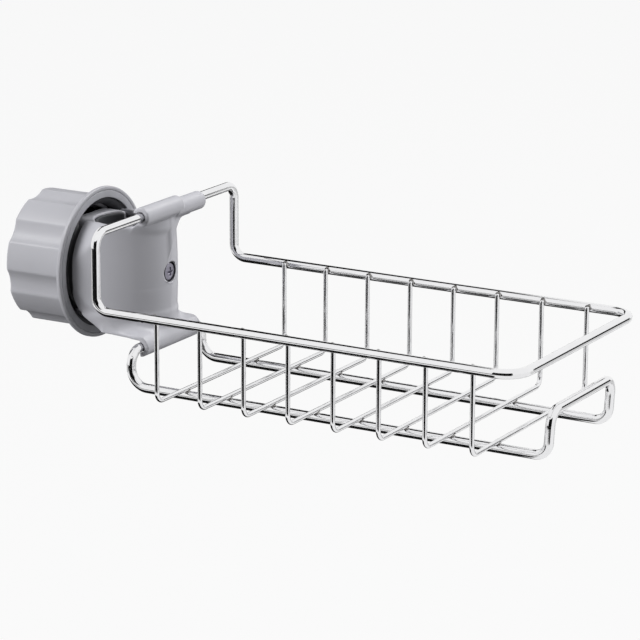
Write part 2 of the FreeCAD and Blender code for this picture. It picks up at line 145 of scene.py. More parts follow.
class BracketSettings(bpy.types.PropertyGroup):
    """Sizes of the clamp bracket's shell, clips and screw recess."""
    nose_radius: length("Nose radius", "Plan radius of the two nose arcs", 0.0222)
    core_radius: length("Core radius", "Plan radius of the foot's nose, without a crease", 0.0178)
    nose_crease: length("Nose crease", "Offset of the nose arcs that leaves a crease between them", 0.0016)
    nose_lead: length("Nose lead", "How far the crease stands out of the nose", 0.0003)
    crown_top: length("Upper crown", "How far the nose leans back at its top", 0.0010)
    crown_bottom: length("Lower crown", "How far the nose leans back at its bottom", 0.0012)
    height: length("Height", "Height of the shell", 0.043)
    nose_wall: length("Nose wall", "Wall in front of the fork", 0.0044)
    side_wall: length("Side wall", "Wall beside the fork", 0.0016)
    roof: length("Roof", "Wall over the fork", 0.0015)
    shoulder: length("Shoulder", "How far the round-over stands clear of the flanks", 0.0003)
    round_taper: share("Round taper", "How fast the round-over fades towards the nose", 0.25)
    edge_round: length("Edge round", "Blend along the shell's upper edges", 0.0010)
    clip_bore: length("Clip bore", "Radius of the groove that holds a bar", 0.00225)
    clip_mouth: length("Clip mouth", "Opening of the upper clip", 0.003)
    clip_front: length("Clip front", "Front end of the upper clip along Y", -0.021)
    clip_seam: length("Clip seam", "Step in the upper clip along Y", 0.008)
    clip_step: length("Clip step", "How much slimmer the clip is behind its seam", 0.0002)
    clip_drop: length("Clip drop", "How much lower the clip is behind its seam", 0.0012)
    clip_blend: length("Clip blend", "Blend between the upper clip and the shell", 0.0035)
    corbel_front: length("Corbel front", "Front end of the corbel under the clip along Y", -0.016)
    corbel_back: length("Corbel back", "Back end of the corbel under the clip along Y", 0.012)
    corbel_bite: length("Corbel bite", "How far down the shell the corbel's middle reaches", 0.0020)
    corbel_reach: length("Corbel reach", "How far the corbel stands out of the shell", 0.0003)
    gusset_back: length("Gusset back", "Where the gusset's hollow edge runs into the clip", 0.0115)
    gusset_depth: length("Gusset depth", "Depth of the gusset under the clip at the crease", 0.0103)
    gusset_width: length("Gusset width", "Thickness of the gusset", 0.0034)
    foot_start: length("Foot start", "Height where the lower side walls start", -0.008)
    foot_inset: length("Foot inset", "How much narrower the lower side walls are than the shell", 0.0023)
    foot_heel: length("Foot heel", "Height of the sloping heel at the shell's rear", -0.0152)
    foot_rear: length("Foot rear", "Where the heel's slope meets the lower edge, along X", 0.0)
    foot_edge: length("Foot edge", "Rise of the lower edge at the heel's slope", 0.0010)
    foot_blend: length("Foot blend", "Blend between the shell and its lower side walls", 0.0025)
    knob_room: length("Knob room", "Clearance between the foot and the closed knob", 0.0005)
    canopy_inset: length("Canopy inset", "How much narrower the canopy is than the shell", 0.0028)
    canopy_root: length("Canopy root", "Rear of the canopy at the shell, along X", -0.0065)
    canopy_rear: length("Canopy rear", "Rear of the canopy at its lower edge, along X", 0.0006)
    canopy_bite: length("Canopy bite", "How far up the shell the canopy starts", 0.0025)
    canopy_edge: length("Canopy edge", "Height of the canopy's upright lower edge", 0.0015)
    canopy_gap: length("Canopy gap", "Height of the canopy over the lower groove", 0.0007)
    canopy_blend: length("Canopy blend", "Blend between the canopy, the shell and the hook", 0.004)
    recess_radius: length("Recess radius", "Radius of the screw's recess", 0.0045)
    recess_depth: length("Recess depth", "Depth of the screw's recess", 0.0023)
    recess_lip: length("Recess lip", "Radius of the raised lip round the recess", 0.00025)
    recess_face: length("Recess face", "How far the flat face round the recess stands out of the nose", 0.0004)
    soft_edge: length("Soft edge", "Blend on the moulding's cut edges", 0.0009)
    step: length("Mesh step", "Grid step of the bracket's mesh", 0.00042)


class KnobSettings(bpy.types.PropertyGroup):
    """Sizes of the hand knob, its thread and the soft ring on its flange."""
    grip_radius: length("Grip radius", "Radius over the knob's lobes", 0.0289)
    end_wall: length("End wall", "Thickness of the knob's closed end", 0.0025)
    end_round: length("End round", "Blend round the closed end", 0.0006)
    flange_thickness: length("Flange", "Thickness of the flange", 0.0011)
    flange_lip: length("Flange lip", "Width of the flange's lip inside the ring's edge", 0.0010)
    flange_round: length("Flange round", "Blend on the flange's edges", 0.0009)
    flange_root: length("Flange root", "Blend between the grip and the flange", 0.0012)
    mouth_radius: length("Mouth radius", "Radius of the mouth that swallows the shell", 0.0253)
    mouth_chamfer: length("Mouth chamfer", "Chamfer round the mouth", 0.0028)
    flutes: bpy.props.IntProperty(name="Flutes", description="Number of finger flutes", default=8, min=3)
    flute_depth: length("Flute depth", "Depth of a flute", 0.0016)
    flute_radius: length("Flute radius", "Radius of a flute's hollow", 0.0125)
    flute_round: length("Flute round", "Blend between a flute and its lobes", 0.0004)
    flute_start: angle("Flute start", "Angle of the first flute from +Y", 13)
    thread_pitch: length("Thread pitch", "Advance in one turn", 0.005)
    thread_root: length("Thread root", "Radius at the root of the inner thread", 0.0246)
    thread_crest: length("Thread crest", "Radius at the crest of the inner thread", 0.0233)
    thread_root_width: length("Root width", "Width of the ridge at its root", 0.002)
    thread_crest_width: length("Crest width", "Width of the ridge at its crest", 0.001)
    boss_radius: length("Boss radius", "Radius of the pivot boss", 0.006)
    boss_gap: length("Boss gap", "Gap between the boss and the saddle", 0.0003)
    # The dark lining on the mouth's chamfer is painted shade, where the mouth lies in shade
    lining: length("Lining", "Thickness of the dark lining on the mouth's chamfer", 0.00025)
    step: length("Mesh step", "Grid step of the knob's mesh", 0.0005)


class JawSettings(bpy.types.PropertyGroup):
    """Sizes of the fork, the saddle, the pads and the screws."""
    bore_radius: length("Bore radius", "Radius of the clamp's bore at the grip pad", 0.0128)
    seat_radius: length("Seat radius", "Radius of the fork's seat for the grip pad", 0.01445)
    slot_half: length("Slot half width", "Half the width of the way into the bore", 0.0132)
    pad_radius: length("Pad radius", "Outer radius of the grip pad", 0.0144)
    pad_arc: angle("Pad arc", "Arc that the grip pad covers", 150)
    lip_arc: angle("Lip arc", "Arc of the grip pad's lip", 110)
    fork_radius: length("Fork radius", "Radius of the fork's arms under their thread", 0.02295)
    fork_crest: length("Fork crest", "Radius at the crest of the fork's thread", 0.02425)
    fork_thread: length("Fork thread", "Front end of the fork's thread along X", -0.016)
    fork_shoulder: length("Fork shoulder", "Where the arms leave the shell, along X", -0.013)
    saddle_corner: length("Saddle corner", "Corner radius of the saddle", 0.003)
    saddle_pad_arc: angle("Saddle pad arc", "Arc that the saddle's pad covers", 100)
    edge: length("Edge", "Blend on the moulded edges", 0.0006)
    shank: length("Bracket screw shank", "Radius of the bracket screw's shank", 0.00175)
    pivot_shank: length("Pivot screw shank", "Radius of the pivot screw's shank", 0.002)
    head_height: length("Head height", "Height of the bracket screw's head", 0.0016)
    pivot_head_height: length("Pivot head height", "Height of the pivot screw's head", 0.0022)
    head_crown: length("Head crown", "Rise of a screw head's dome", 0.0007)
    cup_height: length("Cup height", "Height of the washer's upright rim", 0.0019)
    cup_wall: length("Cup wall", "Thickness of the washer's upright rim", 0.0003)
    drive_width: length("Drive width", "Width of a cross recess's wings", 0.0011)
    drive_depth: length("Drive depth", "Depth of a cross recess at its middle", 0.0016)
    drive_span: length("Drive span", "Length over a cross recess's wings", 0.0046)
    step: length("Mesh step", "Grid step of the jaw pieces' meshes", 0.0006)
    screw_step: length("Screw mesh step", "Grid step of the screws' meshes", 0.00016)


class FinishSettings(bpy.types.PropertyGroup):
    """Colours of the finishes."""
    # Bracket, saddle and knob are one grey plastic; the bracket and saddle grey is lifted with painted light
    grey_plastic: colour("Grey plastic", "Bracket and saddle", (0.395, 0.395, 0.425))
    # The knob's grey is the same plastic made darker, a painted shade
    knob_plastic: colour("Knob plastic", "Grey of the knob", (0.345, 0.345, 0.371))
    dark_plastic: colour("Dark plastic", "Fork", (0.030, 0.031, 0.034))
    # Rubber also colours the mouth's lining, which is painted shade
    rubber: colour("Rubber", "Pads and mouth lining", (0.030, 0.031, 0.035))
    ring: colour("Flange ring", "Soft ring on the knob's flange", (0.300, 0.302, 0.325))
    steel: colour("Stainless wire", "Basket wires", (0.84, 0.84, 0.85))
    weld: colour("Weld", "Weld nuggets", (0.42, 0.41, 0.40))
    screw: colour("Screw", "Dark plated screws", (0.26, 0.25, 0.30))
    # The washer's near-black tone is painted shade for the dark recess round the screw head
    washer: colour("Washer", "Blackened washer under the bracket screw", (0.060, 0.059, 0.066))


class StageSettings(bpy.types.PropertyGroup):
    """Camera, lamps and floor."""
    azimuth: angle("Azimuth", "Camera azimuth from -Y towards +X", 29.735)
    elevation: angle("Elevation", "Camera elevation", 14.998)
    roll: angle("Roll", "Camera roll", 0.29)
    eye: bpy.props.FloatVectorProperty(name="Eye", description="Camera place", size=3, unit="LENGTH",
                                       default=(0.72829, -1.10777, 0.33046))
    lens: bpy.props.FloatProperty(name="Lens", description="Focal length on a 36 mm sensor", default=177.48,
                                  unit="CAMERA")
    floor_drop: length("Floor drop", "How far the floor lies under the clamp", 0.24)
    floor_size: length("Floor size", "Side of the floor", 12.0)
    fill: share("Fill", "Strength of the even light from all round", 0.20)


class HolderSettings(bpy.types.PropertyGroup):
    """All settings of the sponge holder."""
    wires: bpy.props.PointerProperty(type=WireSettings, name="Wires", description="Basket wires")
    bracket: bpy.props.PointerProperty(type=BracketSettings, name="Bracket", description="Clamp bracket")
    knob: bpy.props.PointerProperty(type=KnobSettings, name="Knob", description="Hand knob")
    jaw: bpy.props.PointerProperty(type=JawSettings, name="Jaws", description="Fork, saddle, pads and screws")
    finish: bpy.props.PointerProperty(type=FinishSettings, name="Finishes", description="Colours")
    stage: bpy.props.PointerProperty(type=StageSettings, name="Stage", description="Camera, lamps and floor")


# Shader maths

class Term:
    """One shader value. Arithmetic on it adds Math nodes."""

    def __init__(self, finish, socket):
        self.finish = finish
        self.socket = socket

    def __add__(self, other):
        return self.finish.math("ADD", self, other)

    def __radd__(self, other):
        return self.finish.math("ADD", other, self)

    def __mul__(self, other):
        return self.finish.math("MULTIPLY", self, other)

    def __rmul__(self, other):
        return self.finish.math("MULTIPLY", other, self)


class Finish:
    """A node tree under construction, for a material or the world."""

    def __init__(self, owner):
        owner.use_nodes = True
        self.owner = owner
        self.tree = owner.node_tree
        self.tree.nodes.clear()

    def node(self, kind, settings=None, sockets=None, output=0):
        """Adds one node: its settings first, then the values or links of its sockets."""
        made = self.tree.nodes.new(kind)
        for name, value in (settings or {}).items():
            setattr(made, name, value)
        for key, value in (sockets or {}).items():
            if isinstance(value, Term):
                self.tree.links.new(value.socket, made.inputs[key])
            else:
                made.inputs[key].default_value = value
        return Term(self, made.outputs[output]) if made.outputs else None

    def math(self, operation, first, second):
        return self.node("ShaderNodeMath", {"operation": operation}, {0: first, 1: second})

    def noise(self, vector, scale, detail=3.0, roughness=0.55):
        return self.node("ShaderNodeTexNoise", None,
                         {"Vector": vector, "Scale": scale, "Detail": detail, "Roughness": roughness})

    def place(self):
        """Where a point lies on the piece, in metres."""
        return self.node("ShaderNodeTexCoord", None, None, "Object")

    def tint(self, mask, low, high):
        """A colour between two shades of one colour."""
        return self.node("ShaderNodeMix", {"data_type": "RGBA"}, {0: mask, 6: low, 7: high}, 2)

    def bump(self, height, distance, strength):
        return self.node("ShaderNodeBump", None, {"Height": height, "Distance": distance, "Strength": strength})

    def surface(self, **sockets):
        """Ends a material in one Principled shader."""
        named = {name.replace("_", " "): value for name, value in sockets.items()}
        shader = self.node("ShaderNodeBsdfPrincipled", None, named)
        self.node("ShaderNodeOutputMaterial", None, {"Surface": shader})
        return self.owner


def shade(rgb, factor):
    """A lighter or darker shade, with alpha."""
    return tuple(min(channel * factor, 1.0) for channel in rgb) + (1.0,)


def new_finish(name):
    return Finish(bpy.data.materials.new(name))


def grey_moulding(name, plastic):
    """Satin grey plastic: faint flow marks and a fine spark-eroded grain."""
    finish = new_finish(name)
    place = finish.place()
    flow = finish.noise(place, 55.0, 2.0)
    grain = finish.noise(place, 3600.0, 2.0, 0.6)
    rub = finish.noise(place, 420.0, 4.0, 0.65)
    base = finish.tint(flow, shade(plastic, 0.95), shade(plastic, 1.05))
    return finish.surface(
        Base_Color=base,
        Roughness=0.30 + 0.10 * flow + 0.08 * rub,
        Normal=finish.bump(grain, 0.00002, 0.35),
        IOR=1.49,
    )


def dark_moulding(name, plastic):
    """Dark glass-filled plastic."""
    finish = new_finish(name)
    place = finish.place()
    flow = finish.noise(place, 90.0, 3.0)
    grain = finish.noise(place, 2600.0, 3.0, 0.6)
    base = finish.tint(flow, shade(plastic, 0.75), shade(plastic, 1.3))
    return finish.surface(
        Base_Color=base,
        Roughness=0.42 + 0.16 * flow,
        Normal=finish.bump(grain, 0.00003, 0.4),
        IOR=1.5,
    )


def soft_rubber(name, rubber):
    """Matt rubber with a dusty bloom and a pebbled grain."""
    finish = new_finish(name)
    place = finish.place()
    bloom = finish.noise(place, 140.0, 4.0, 0.6)
    grain = finish.node("ShaderNodeTexVoronoi", {"feature": "SMOOTH_F1"},
                        {"Vector": place, "Scale": 1900.0, "Smoothness": 0.6})
    base = finish.tint(bloom, shade(rubber, 0.8), shade(rubber, 1.3))
    return finish.surface(
        Base_Color=base,
        Roughness=0.62 + 0.2 * bloom,
        Normal=finish.bump(grain, 0.00005, 0.4),
        IOR=1.52,
    )


def polished_wire(name, steel):
    """Polished stainless wire: faint drawing lines along its length and a few duller patches."""
    finish = new_finish(name)
    along = finish.node("ShaderNodeAttribute", {"attribute_type": "GEOMETRY", "attribute_name": "wire_place"},
                        None, "Vector")
    stretched = finish.node("ShaderNodeVectorMath", {"operation": "MULTIPLY"}, {0: along, 1: (60.0, 5200.0, 1.0)})
    lines = finish.noise(stretched, 1.0, 3.0, 0.6)
    patches = finish.noise(finish.place(), 130.0, 3.0)
    base = finish.tint(patches, shade(steel, 0.93), shade(steel, 1.05))
    return finish.surface(
        Base_Color=base,
        Metallic=1.0,
        Roughness=0.045 + 0.05 * patches + 0.04 * lines,
        Normal=finish.bump(lines, 0.000004, 0.25),
    )


def weld_metal(name, steel):
    """Weld nuggets: the same steel, duller and a little darker."""
    finish = new_finish(name)
    place = finish.place()
    scale = finish.noise(place, 1500.0, 4.0, 0.65)
    base = finish.tint(scale, shade(steel, 0.7), shade(steel, 1.2))
    return finish.surface(
        Base_Color=base,
        Metallic=1.0,
        Roughness=0.22 + 0.25 * scale,
        Normal=finish.bump(scale, 0.00006, 0.5),
    )


def worn_steel(name, plating):
    """Dark plated steel with worn patches."""
    finish = new_finish(name)
    place = finish.place()
    wear = finish.noise(place, 700.0, 4.0, 0.65)
    grain = finish.noise(place, 6000.0, 2.0)
    base = finish.tint(wear, shade(plating, 0.7), shade(plating, 1.5))
    return finish.surface(
        Base_Color=base,
        Metallic=1.0,
        Roughness=0.26 + 0.22 * wear,
        Normal=finish.bump(grain, 0.00001, 0.3),
    )


# Each finish: what makes it, its material's name and the setting that holds its colour
FINISHES = {
    # The two grey finishes are lit and shaded copies of one plastic: painted light on the bracket, painted shade on the
    # knob
    "grey_plastic": (grey_moulding, "satin_grey_plastic", "grey_plastic"),
    "knob_plastic": (grey_moulding, "knob_grey_plastic", "knob_plastic"),
    "dark_plastic": (dark_moulding, "dark_filled_plastic", "dark_plastic"),
    "black_rubber": (soft_rubber, "matt_rubber", "rubber"),
    "charcoal_rubber": (soft_rubber, "charcoal_rubber", "ring"),
    "stainless_wire": (polished_wire, "polished_stainless_wire", "steel"),
    "screw_steel": (worn_steel, "dark_plated_steel", "screw"),
    # The washer's finish paints the shade of the screw's recess
    "black_steel": (worn_steel, "blackened_steel", "washer"),
    "weld": (weld_metal, "weld_steel", "weld"),
}
made_finishes = {}


def finish_of(context, name):
    """The material of one finish, made once."""
    if name not in made_finishes:
        maker, material, tone = FINISHES[name]
        made_finishes[name] = maker(material, getattr(context.scene.sponge_holder.finish, tone))
    return made_finishes[name]


# Meshes

def new_piece(context, name, vertices, faces, finish, body, slot, *nodes):
    """Adds a smooth mesh piece that rides on a body and stands for its frame nodes."""
    mesh = bpy.data.meshes.new(name)
    mesh.from_pydata([tuple(map(float, vertex)) for vertex in vertices], [], faces)
    mesh.validate()
    mesh.polygons.foreach_set("use_smooth", [True] * len(mesh.polygons))
    mesh.materials.append(finish_of(context, finish))
    piece = bpy.data.objects.new(name, mesh)
    context.scene.collection.objects.link(piece)
    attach(piece, body)
    if nodes:
        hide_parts(*nodes)
    return piece


def unit(vector):
    return vector / np.linalg.norm(vector)


def turned(vector, axis, turn):
    """A vector turned about a unit axis."""
    return (vector * math.cos(turn) + np.cross(axis, vector) * math.sin(turn)
            + axis * np.dot(axis, vector) * (1 - math.cos(turn)))


def bend_points(before, corner, after, radius):
    """Points and directions along the arc that rounds one corner of a wire."""
    back = unit(before - corner)
    ahead = unit(after - corner)
    half = math.acos(np.clip(np.dot(back, ahead), -1, 1)) / 2
    centre = corner + unit(back + ahead) * (radius / math.sin(half))
    start = corner + back * (radius / math.tan(half))
    axis = unit(np.cross(-back, ahead))
    sweep = math.pi - 2 * half
    for step in range(BEND_STEPS + 1):
        turn = sweep * step / BEND_STEPS
        yield centre + turned(start - centre, axis, turn), turned(-back, axis, turn)


def wire_path(corners, radii, closed):
    """Points and directions along a bent wire: straight runs joined by arcs."""
    corners = [np.array(corner, float) for corner in corners]
    path = []
    count = len(corners)
    if closed:
        start = (corners[-1] + corners[0]) / 2
        heading = unit(corners[0] - corners[-1])
        path.append((start, heading))
        inner = range(count)
    else:
        path.append((corners[0], unit(corners[1] - corners[0])))
        inner = range(1, count - 1)
    for index in inner:
        path.extend(bend_points(corners[index - 1], corners[index], corners[(index + 1) % count], radii[index]))
    if closed:
        path.append((start, heading))
    else:
        path.append((corners[-1], unit(corners[-1] - corners[-2])))
    return list(held_runs(path))


def held_runs(path):
    """A path with one more point near both ends of every straight run, which keeps its shading true."""
    for (point, direction), (following, _) in zip(path, path[1:]):
        yield point, direction
        run = np.linalg.norm(following - point)
        if run > 4 * RUN_HOLD:
            along = (following - point) / run
            yield point + along * RUN_HOLD, along
            yield following - along * RUN_HOLD, along
    yield path[-1]


def wire_mesh(path, radius, sides, closed, chamfer):
    """Round tube along a path, with the place along and round the wire for each vertex."""
    heading = path[0][1]
    across = unit(np.cross(heading, RING_START))
    rings = []
    travelled = 0.0
    for index, (point, direction) in enumerate(path):
        across = unit(across - direction * np.dot(across, direction))
        if index:
            travelled += np.linalg.norm(point - path[index - 1][0])
        rings.append((point, direction, across, radius, travelled))
    if closed:
        first, last = rings[0], rings[-1]
        twist = math.atan2(np.dot(np.cross(last[2], first[2]), heading), np.dot(last[2], first[2]))
        rings = [(point, direction, turned(side, direction, twist * place / travelled), size, place)
                 for point, direction, side, size, place in rings]
    else:
        rings = [(point + direction * chamfer * sign, direction, side, size - chamfer * inset, place)
                 for point, direction, side, size, place, sign, inset in cut_ends(rings)]
    turn = np.linspace(0, 2 * math.pi, sides, endpoint=False)
    vertices, places = [], []
    for point, direction, side, size, place in rings:
        other = np.cross(direction, side)
        vertices.extend(point + size * (np.outer(np.cos(turn), side) + np.outer(np.sin(turn), other)))
        places.extend((place, value * radius, 0.0) for value in turn)
    return vertices, places, tube_faces(0, len(rings), sides, not closed)


def tube_faces(start, rings, sides, capped):
    """Quads between rings of vertices, with a cap on both ends of an open tube."""
    faces = []
    for ring in range(rings - 1):
        for side in range(sides):
            low = start + ring * sides + side
            high = start + ring * sides + (side + 1) % sides
            faces.append((low, high, high + sides, low + sides))
    if capped:
        end = start + rings * sides
        faces.append(tuple(reversed(range(start, start + sides))))
        faces.append(tuple(range(end - sides, end)))
    return faces


def cut_ends(rings):
    """An open wire's rings with one more at each end, where its chamfer starts."""
    yield rings[0] + (0, 1)
    yield rings[0] + (1, 0)
    for ring in rings[1:-1]:
        yield ring + (0, 0)
    yield rings[-1] + (-1, 0)
    yield rings[-1] + (0, 1)


def wire_piece(context, node, corners, radii, radius, sides, closed, chamfer=0.0):
    """One bent wire that stands for its frame node."""
    vertices, places, faces = wire_mesh(wire_path(corners, radii, closed), radius, sides, closed, chamfer)
    piece = new_piece(context, node + "_bent", vertices, faces, "stainless_wire", HOLDER, "stainless_wire", node)
    attribute = piece.data.attributes.new("wire_place", "FLOAT_VECTOR", "POINT")
    attribute.data.foreach_set("vector", np.array(places, np.float32).ravel())


# Moulded forms: fields that are negative inside, joined and cut with soft edges

def join(first, second, blend):
    """Union of two fields with a fillet."""
    mix = np.clip(0.5 + 0.5 * (second - first) / blend, 0, 1)
    return second + (first - second) * mix - blend * mix * (1 - mix)


def meet(first, second, blend):
    """Intersection of two fields with a rounded edge."""
    return -join(-first, -second, blend)


def cut(first, second, blend):
    """The first field without the second, with a rounded edge."""
    return -join(-first, second, blend)


def span(value, low, high):
    """Slab between two limits."""
    return np.maximum(low - value, value - high)


def bar(x, y, z, centre_x, centre_z, radius, low, high, edge):
    """Round bar along Y."""
    return meet(np.hypot(x - centre_x, z - centre_z) - radius, span(y, low, high), edge)


def rounded_block(first, second, half_first, half_second, corner):
    """Rectangle with round corners about the axes."""
    over_first = np.abs(first) - half_first + corner
    over_second = np.abs(second) - half_second + corner
    outside = np.hypot(np.maximum(over_first, 0), np.maximum(over_second, 0))
    return outside + np.minimum(np.maximum(over_first, over_second), 0) - corner


def bullet_plan(x, y, nose, rear, half_width, nose_radius, crease):
    """Plan with two nose arcs that meet in a crease and two long flank arcs."""
    side = np.abs(y)
    tip_x = nose - math.sqrt(nose_radius ** 2 - crease ** 2)
    run = tip_x - rear
    nose_half = nose_radius - crease
    flank_radius = (run ** 2 + (half_width + crease) ** 2 - nose_radius ** 2) / (2 * (half_width - nose_half))
    flank_y = half_width - flank_radius
    lean_x, lean_y = run, -crease - flank_y
    from_nose = np.hypot(x - tip_x, side + crease) - nose_radius
    from_flank = np.hypot(x - rear, side - flank_y) - flank_radius
    ahead = (x - tip_x) * lean_y - (side + crease) * lean_x > 0
    return np.where(ahead, from_nose, from_flank)


def thread_ridge(x, y, z, pitch, shift, root, crest, root_width, crest_width):
    """Right-hand ridge between its root and crest radius."""
    radius = np.hypot(y, z)
    lead = pitch * np.arctan2(y, -z) / (2 * math.pi) + shift
    offset = np.abs(np.mod(x - lead + pitch / 2, pitch) - pitch / 2)
    part = np.clip((radius - crest) / (root - crest), 0, 1)
    flank = offset - (crest_width + (root_width - crest_width) * part) / 2
    return np.maximum(flank, (radius - crest) if crest > root else (crest - radius))


CUBE = [(i, j, k) for i in (0, 1) for j in (0, 1) for k in (0, 1)]
CUBE_EDGES = [(a, b) for a in CUBE for b in CUBE if sum(b) == sum(a) + 1 and all(q >= p for p, q in zip(a, b))]


def corner_block(values, corner):
    """One corner's value for every cell of a grid."""
    return values[tuple(slice(offset, offset + size - 1) for offset, size in zip(corner, values.shape))]


def cell_points(values, active):
    """Mean of the surface's crossings of each active cell's edges, in cells."""
    total = np.zeros((active.sum(), 3))
    count = np.zeros(active.sum())
    for first, second in CUBE_EDGES:
        low = corner_block(values, first)[active]
        high = corner_block(values, second)[active]
        crossed = (low < 0) != (high < 0)
        part = low[crossed] / (low[crossed] - high[crossed])
        total[crossed] += np.array(first) + part[:, None] * (np.array(second) - np.array(first))
        count[crossed] += 1
    return total / count[:, None]


def grid_faces(inside, numbers):
    """One quad round every grid edge that the surface crosses."""
    faces = []
    for axis in range(3):
        others = [other for other in range(3) if other != axis]
        cuts = [slice(1, -1)] * 3
        cuts[axis] = slice(0, -1)
        ahead = list(cuts)
        ahead[axis] = slice(1, None)
        start, end = inside[tuple(cuts)], inside[tuple(ahead)]
        spots = np.argwhere(start != end)
        outward = start[start != end]
        spots[:, others] += 1
        quad = []
        for first, second in ((0, 0), (1, 0), (1, 1), (0, 1)):
            cell = spots.copy()
            cell[:, others[0]] -= first
            cell[:, others[1]] -= second
            quad.append(numbers[tuple(cell.T)])
        quad = np.stack(quad, 1)
        flip = outward if axis == 1 else ~outward
        quad[flip] = quad[flip][:, ::-1]
        faces.append(quad)
    return np.concatenate(faces)


def settle(points, field, step):
    """Moves points along the field's slope on to its surface."""
    probe = step / PROBES_PER_STEP
    for _ in range(SETTLE_ROUNDS):
        value = field(*points.T)
        slope = np.stack([(field(*(points + shift).T) - field(*(points - shift).T)) / (2 * probe)
                          for shift in np.eye(3) * probe], 1)
        size = np.maximum((slope ** 2).sum(1), FLATTEST_SLOPE)
        points = points - slope * np.clip(value / size, -step / 2, step / 2)[:, None]
    return points


def moulded(field, low, high, step):
    """Closed quad mesh of a field's surface."""
    margin = GRID_MARGIN * step
    axes = [np.arange(start - margin, end + margin, step) for start, end in zip(low, high)]
    values = field(*np.meshgrid(*axes, indexing="ij"))
    inside = values < 0
    filled = sum(corner_block(inside, corner).astype(np.int8) for corner in CUBE)
    active = (filled > 0) & (filled < 8)
    numbers = np.full(active.shape, -1)
    numbers[active] = np.arange(active.sum())
    cells = np.argwhere(active) + cell_points(values, active)
    points = np.array([axis[0] for axis in axes]) + cells * step
    faces = grid_faces(inside, numbers)
    return settle(points, field, step), faces.tolist()


def moulded_piece(context, name, field, low, high, step, slot, body, *nodes, finish=None):
    """One moulded piece that stands for its frame nodes."""
    vertices, faces = moulded(field, low, high, step)
    new_piece(context, name, vertices, faces, finish or slot, body, slot, *nodes)


# Pieces

class BuildBasketWires(bpy.types.Operator):
    """Bend the rim wire, the rail wire and the cross wires"""
    bl_idname = "sponge_holder.basket_wires"
    bl_label = "Basket wires"

    def execute(self, context):
        sizes = context.scene.sponge_holder.wires
        radius = sizes.main_diameter / 2
        self.rim(context, sizes, radius)
        self.rails(context, sizes, radius)
        for node in CROSS_WIRES:
            self.cross_wire(context, sizes, node)
        return {"FINISHED"}

    def rim(self, context, sizes, radius):
        low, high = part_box("basket_rim_wire")
        near, far = low.x + radius, high.x - radius
        half = high.y - radius
        rim, bar_level = low.z + radius, high.z - radius
        corners = [(near, half, bar_level), (near, half, rim), (far, half, rim), (far, -half, rim),
                   (near, -half, rim), (near, -half, bar_level)]
        riser, corner = sizes.riser_bend, sizes.rim_corner
        radii = [riser, riser, corner, corner, riser, riser]
        wire_piece(context, "basket_rim_wire", corners, radii, radius, WIRE_SIDES, True)

    def rails(self, context, sizes, radius):
        low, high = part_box("basket_rail_wire")
        near, end_bar = low.x + radius, high.x - radius
        far = end_bar - sizes.rail_end_lean
        half = high.y - radius
        rail, end_level = low.z + radius, high.z - radius
        bar_level = lower_bar_level(radius)
        corners = [(near, half, bar_level), (near, half, rail), (far, half, rail), (end_bar, half, end_level),
                   (end_bar, -half, end_level), (far, -half, rail), (near, -half, rail), (near, -half, bar_level)]
        rise = bar_level - rail
        upper, root, end = rise * sizes.lower_bar_bend, rise * sizes.rail_root_bend, sizes.rail_end_bend
        radii = [upper, root, end, end, end, end, root, upper]
        wire_piece(context, "basket_rail_wire", corners, radii, radius, WIRE_SIDES, True)

    def cross_wire(self, context, sizes, node):
        radius = sizes.cross_diameter / 2
        low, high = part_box(node)
        x = (low.x + high.x) / 2
        leg = high.y - radius
        floor = low.z + radius
        corners = [(x, -leg, high.z), (x, -leg, floor), (x, leg, floor), (x, leg, high.z)]
        wire_piece(context, node, corners, [sizes.cross_bend] * 4, radius, CROSS_SIDES, False, sizes.tip_chamfer)


def lower_bar_level(radius):
    """Height of the lower bar, from the hook that holds it and is as thick as the upper clip."""
    low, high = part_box("clamp_bracket")
    return low.z + (high.x - (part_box("basket_rim_wire")[0].x + radius))


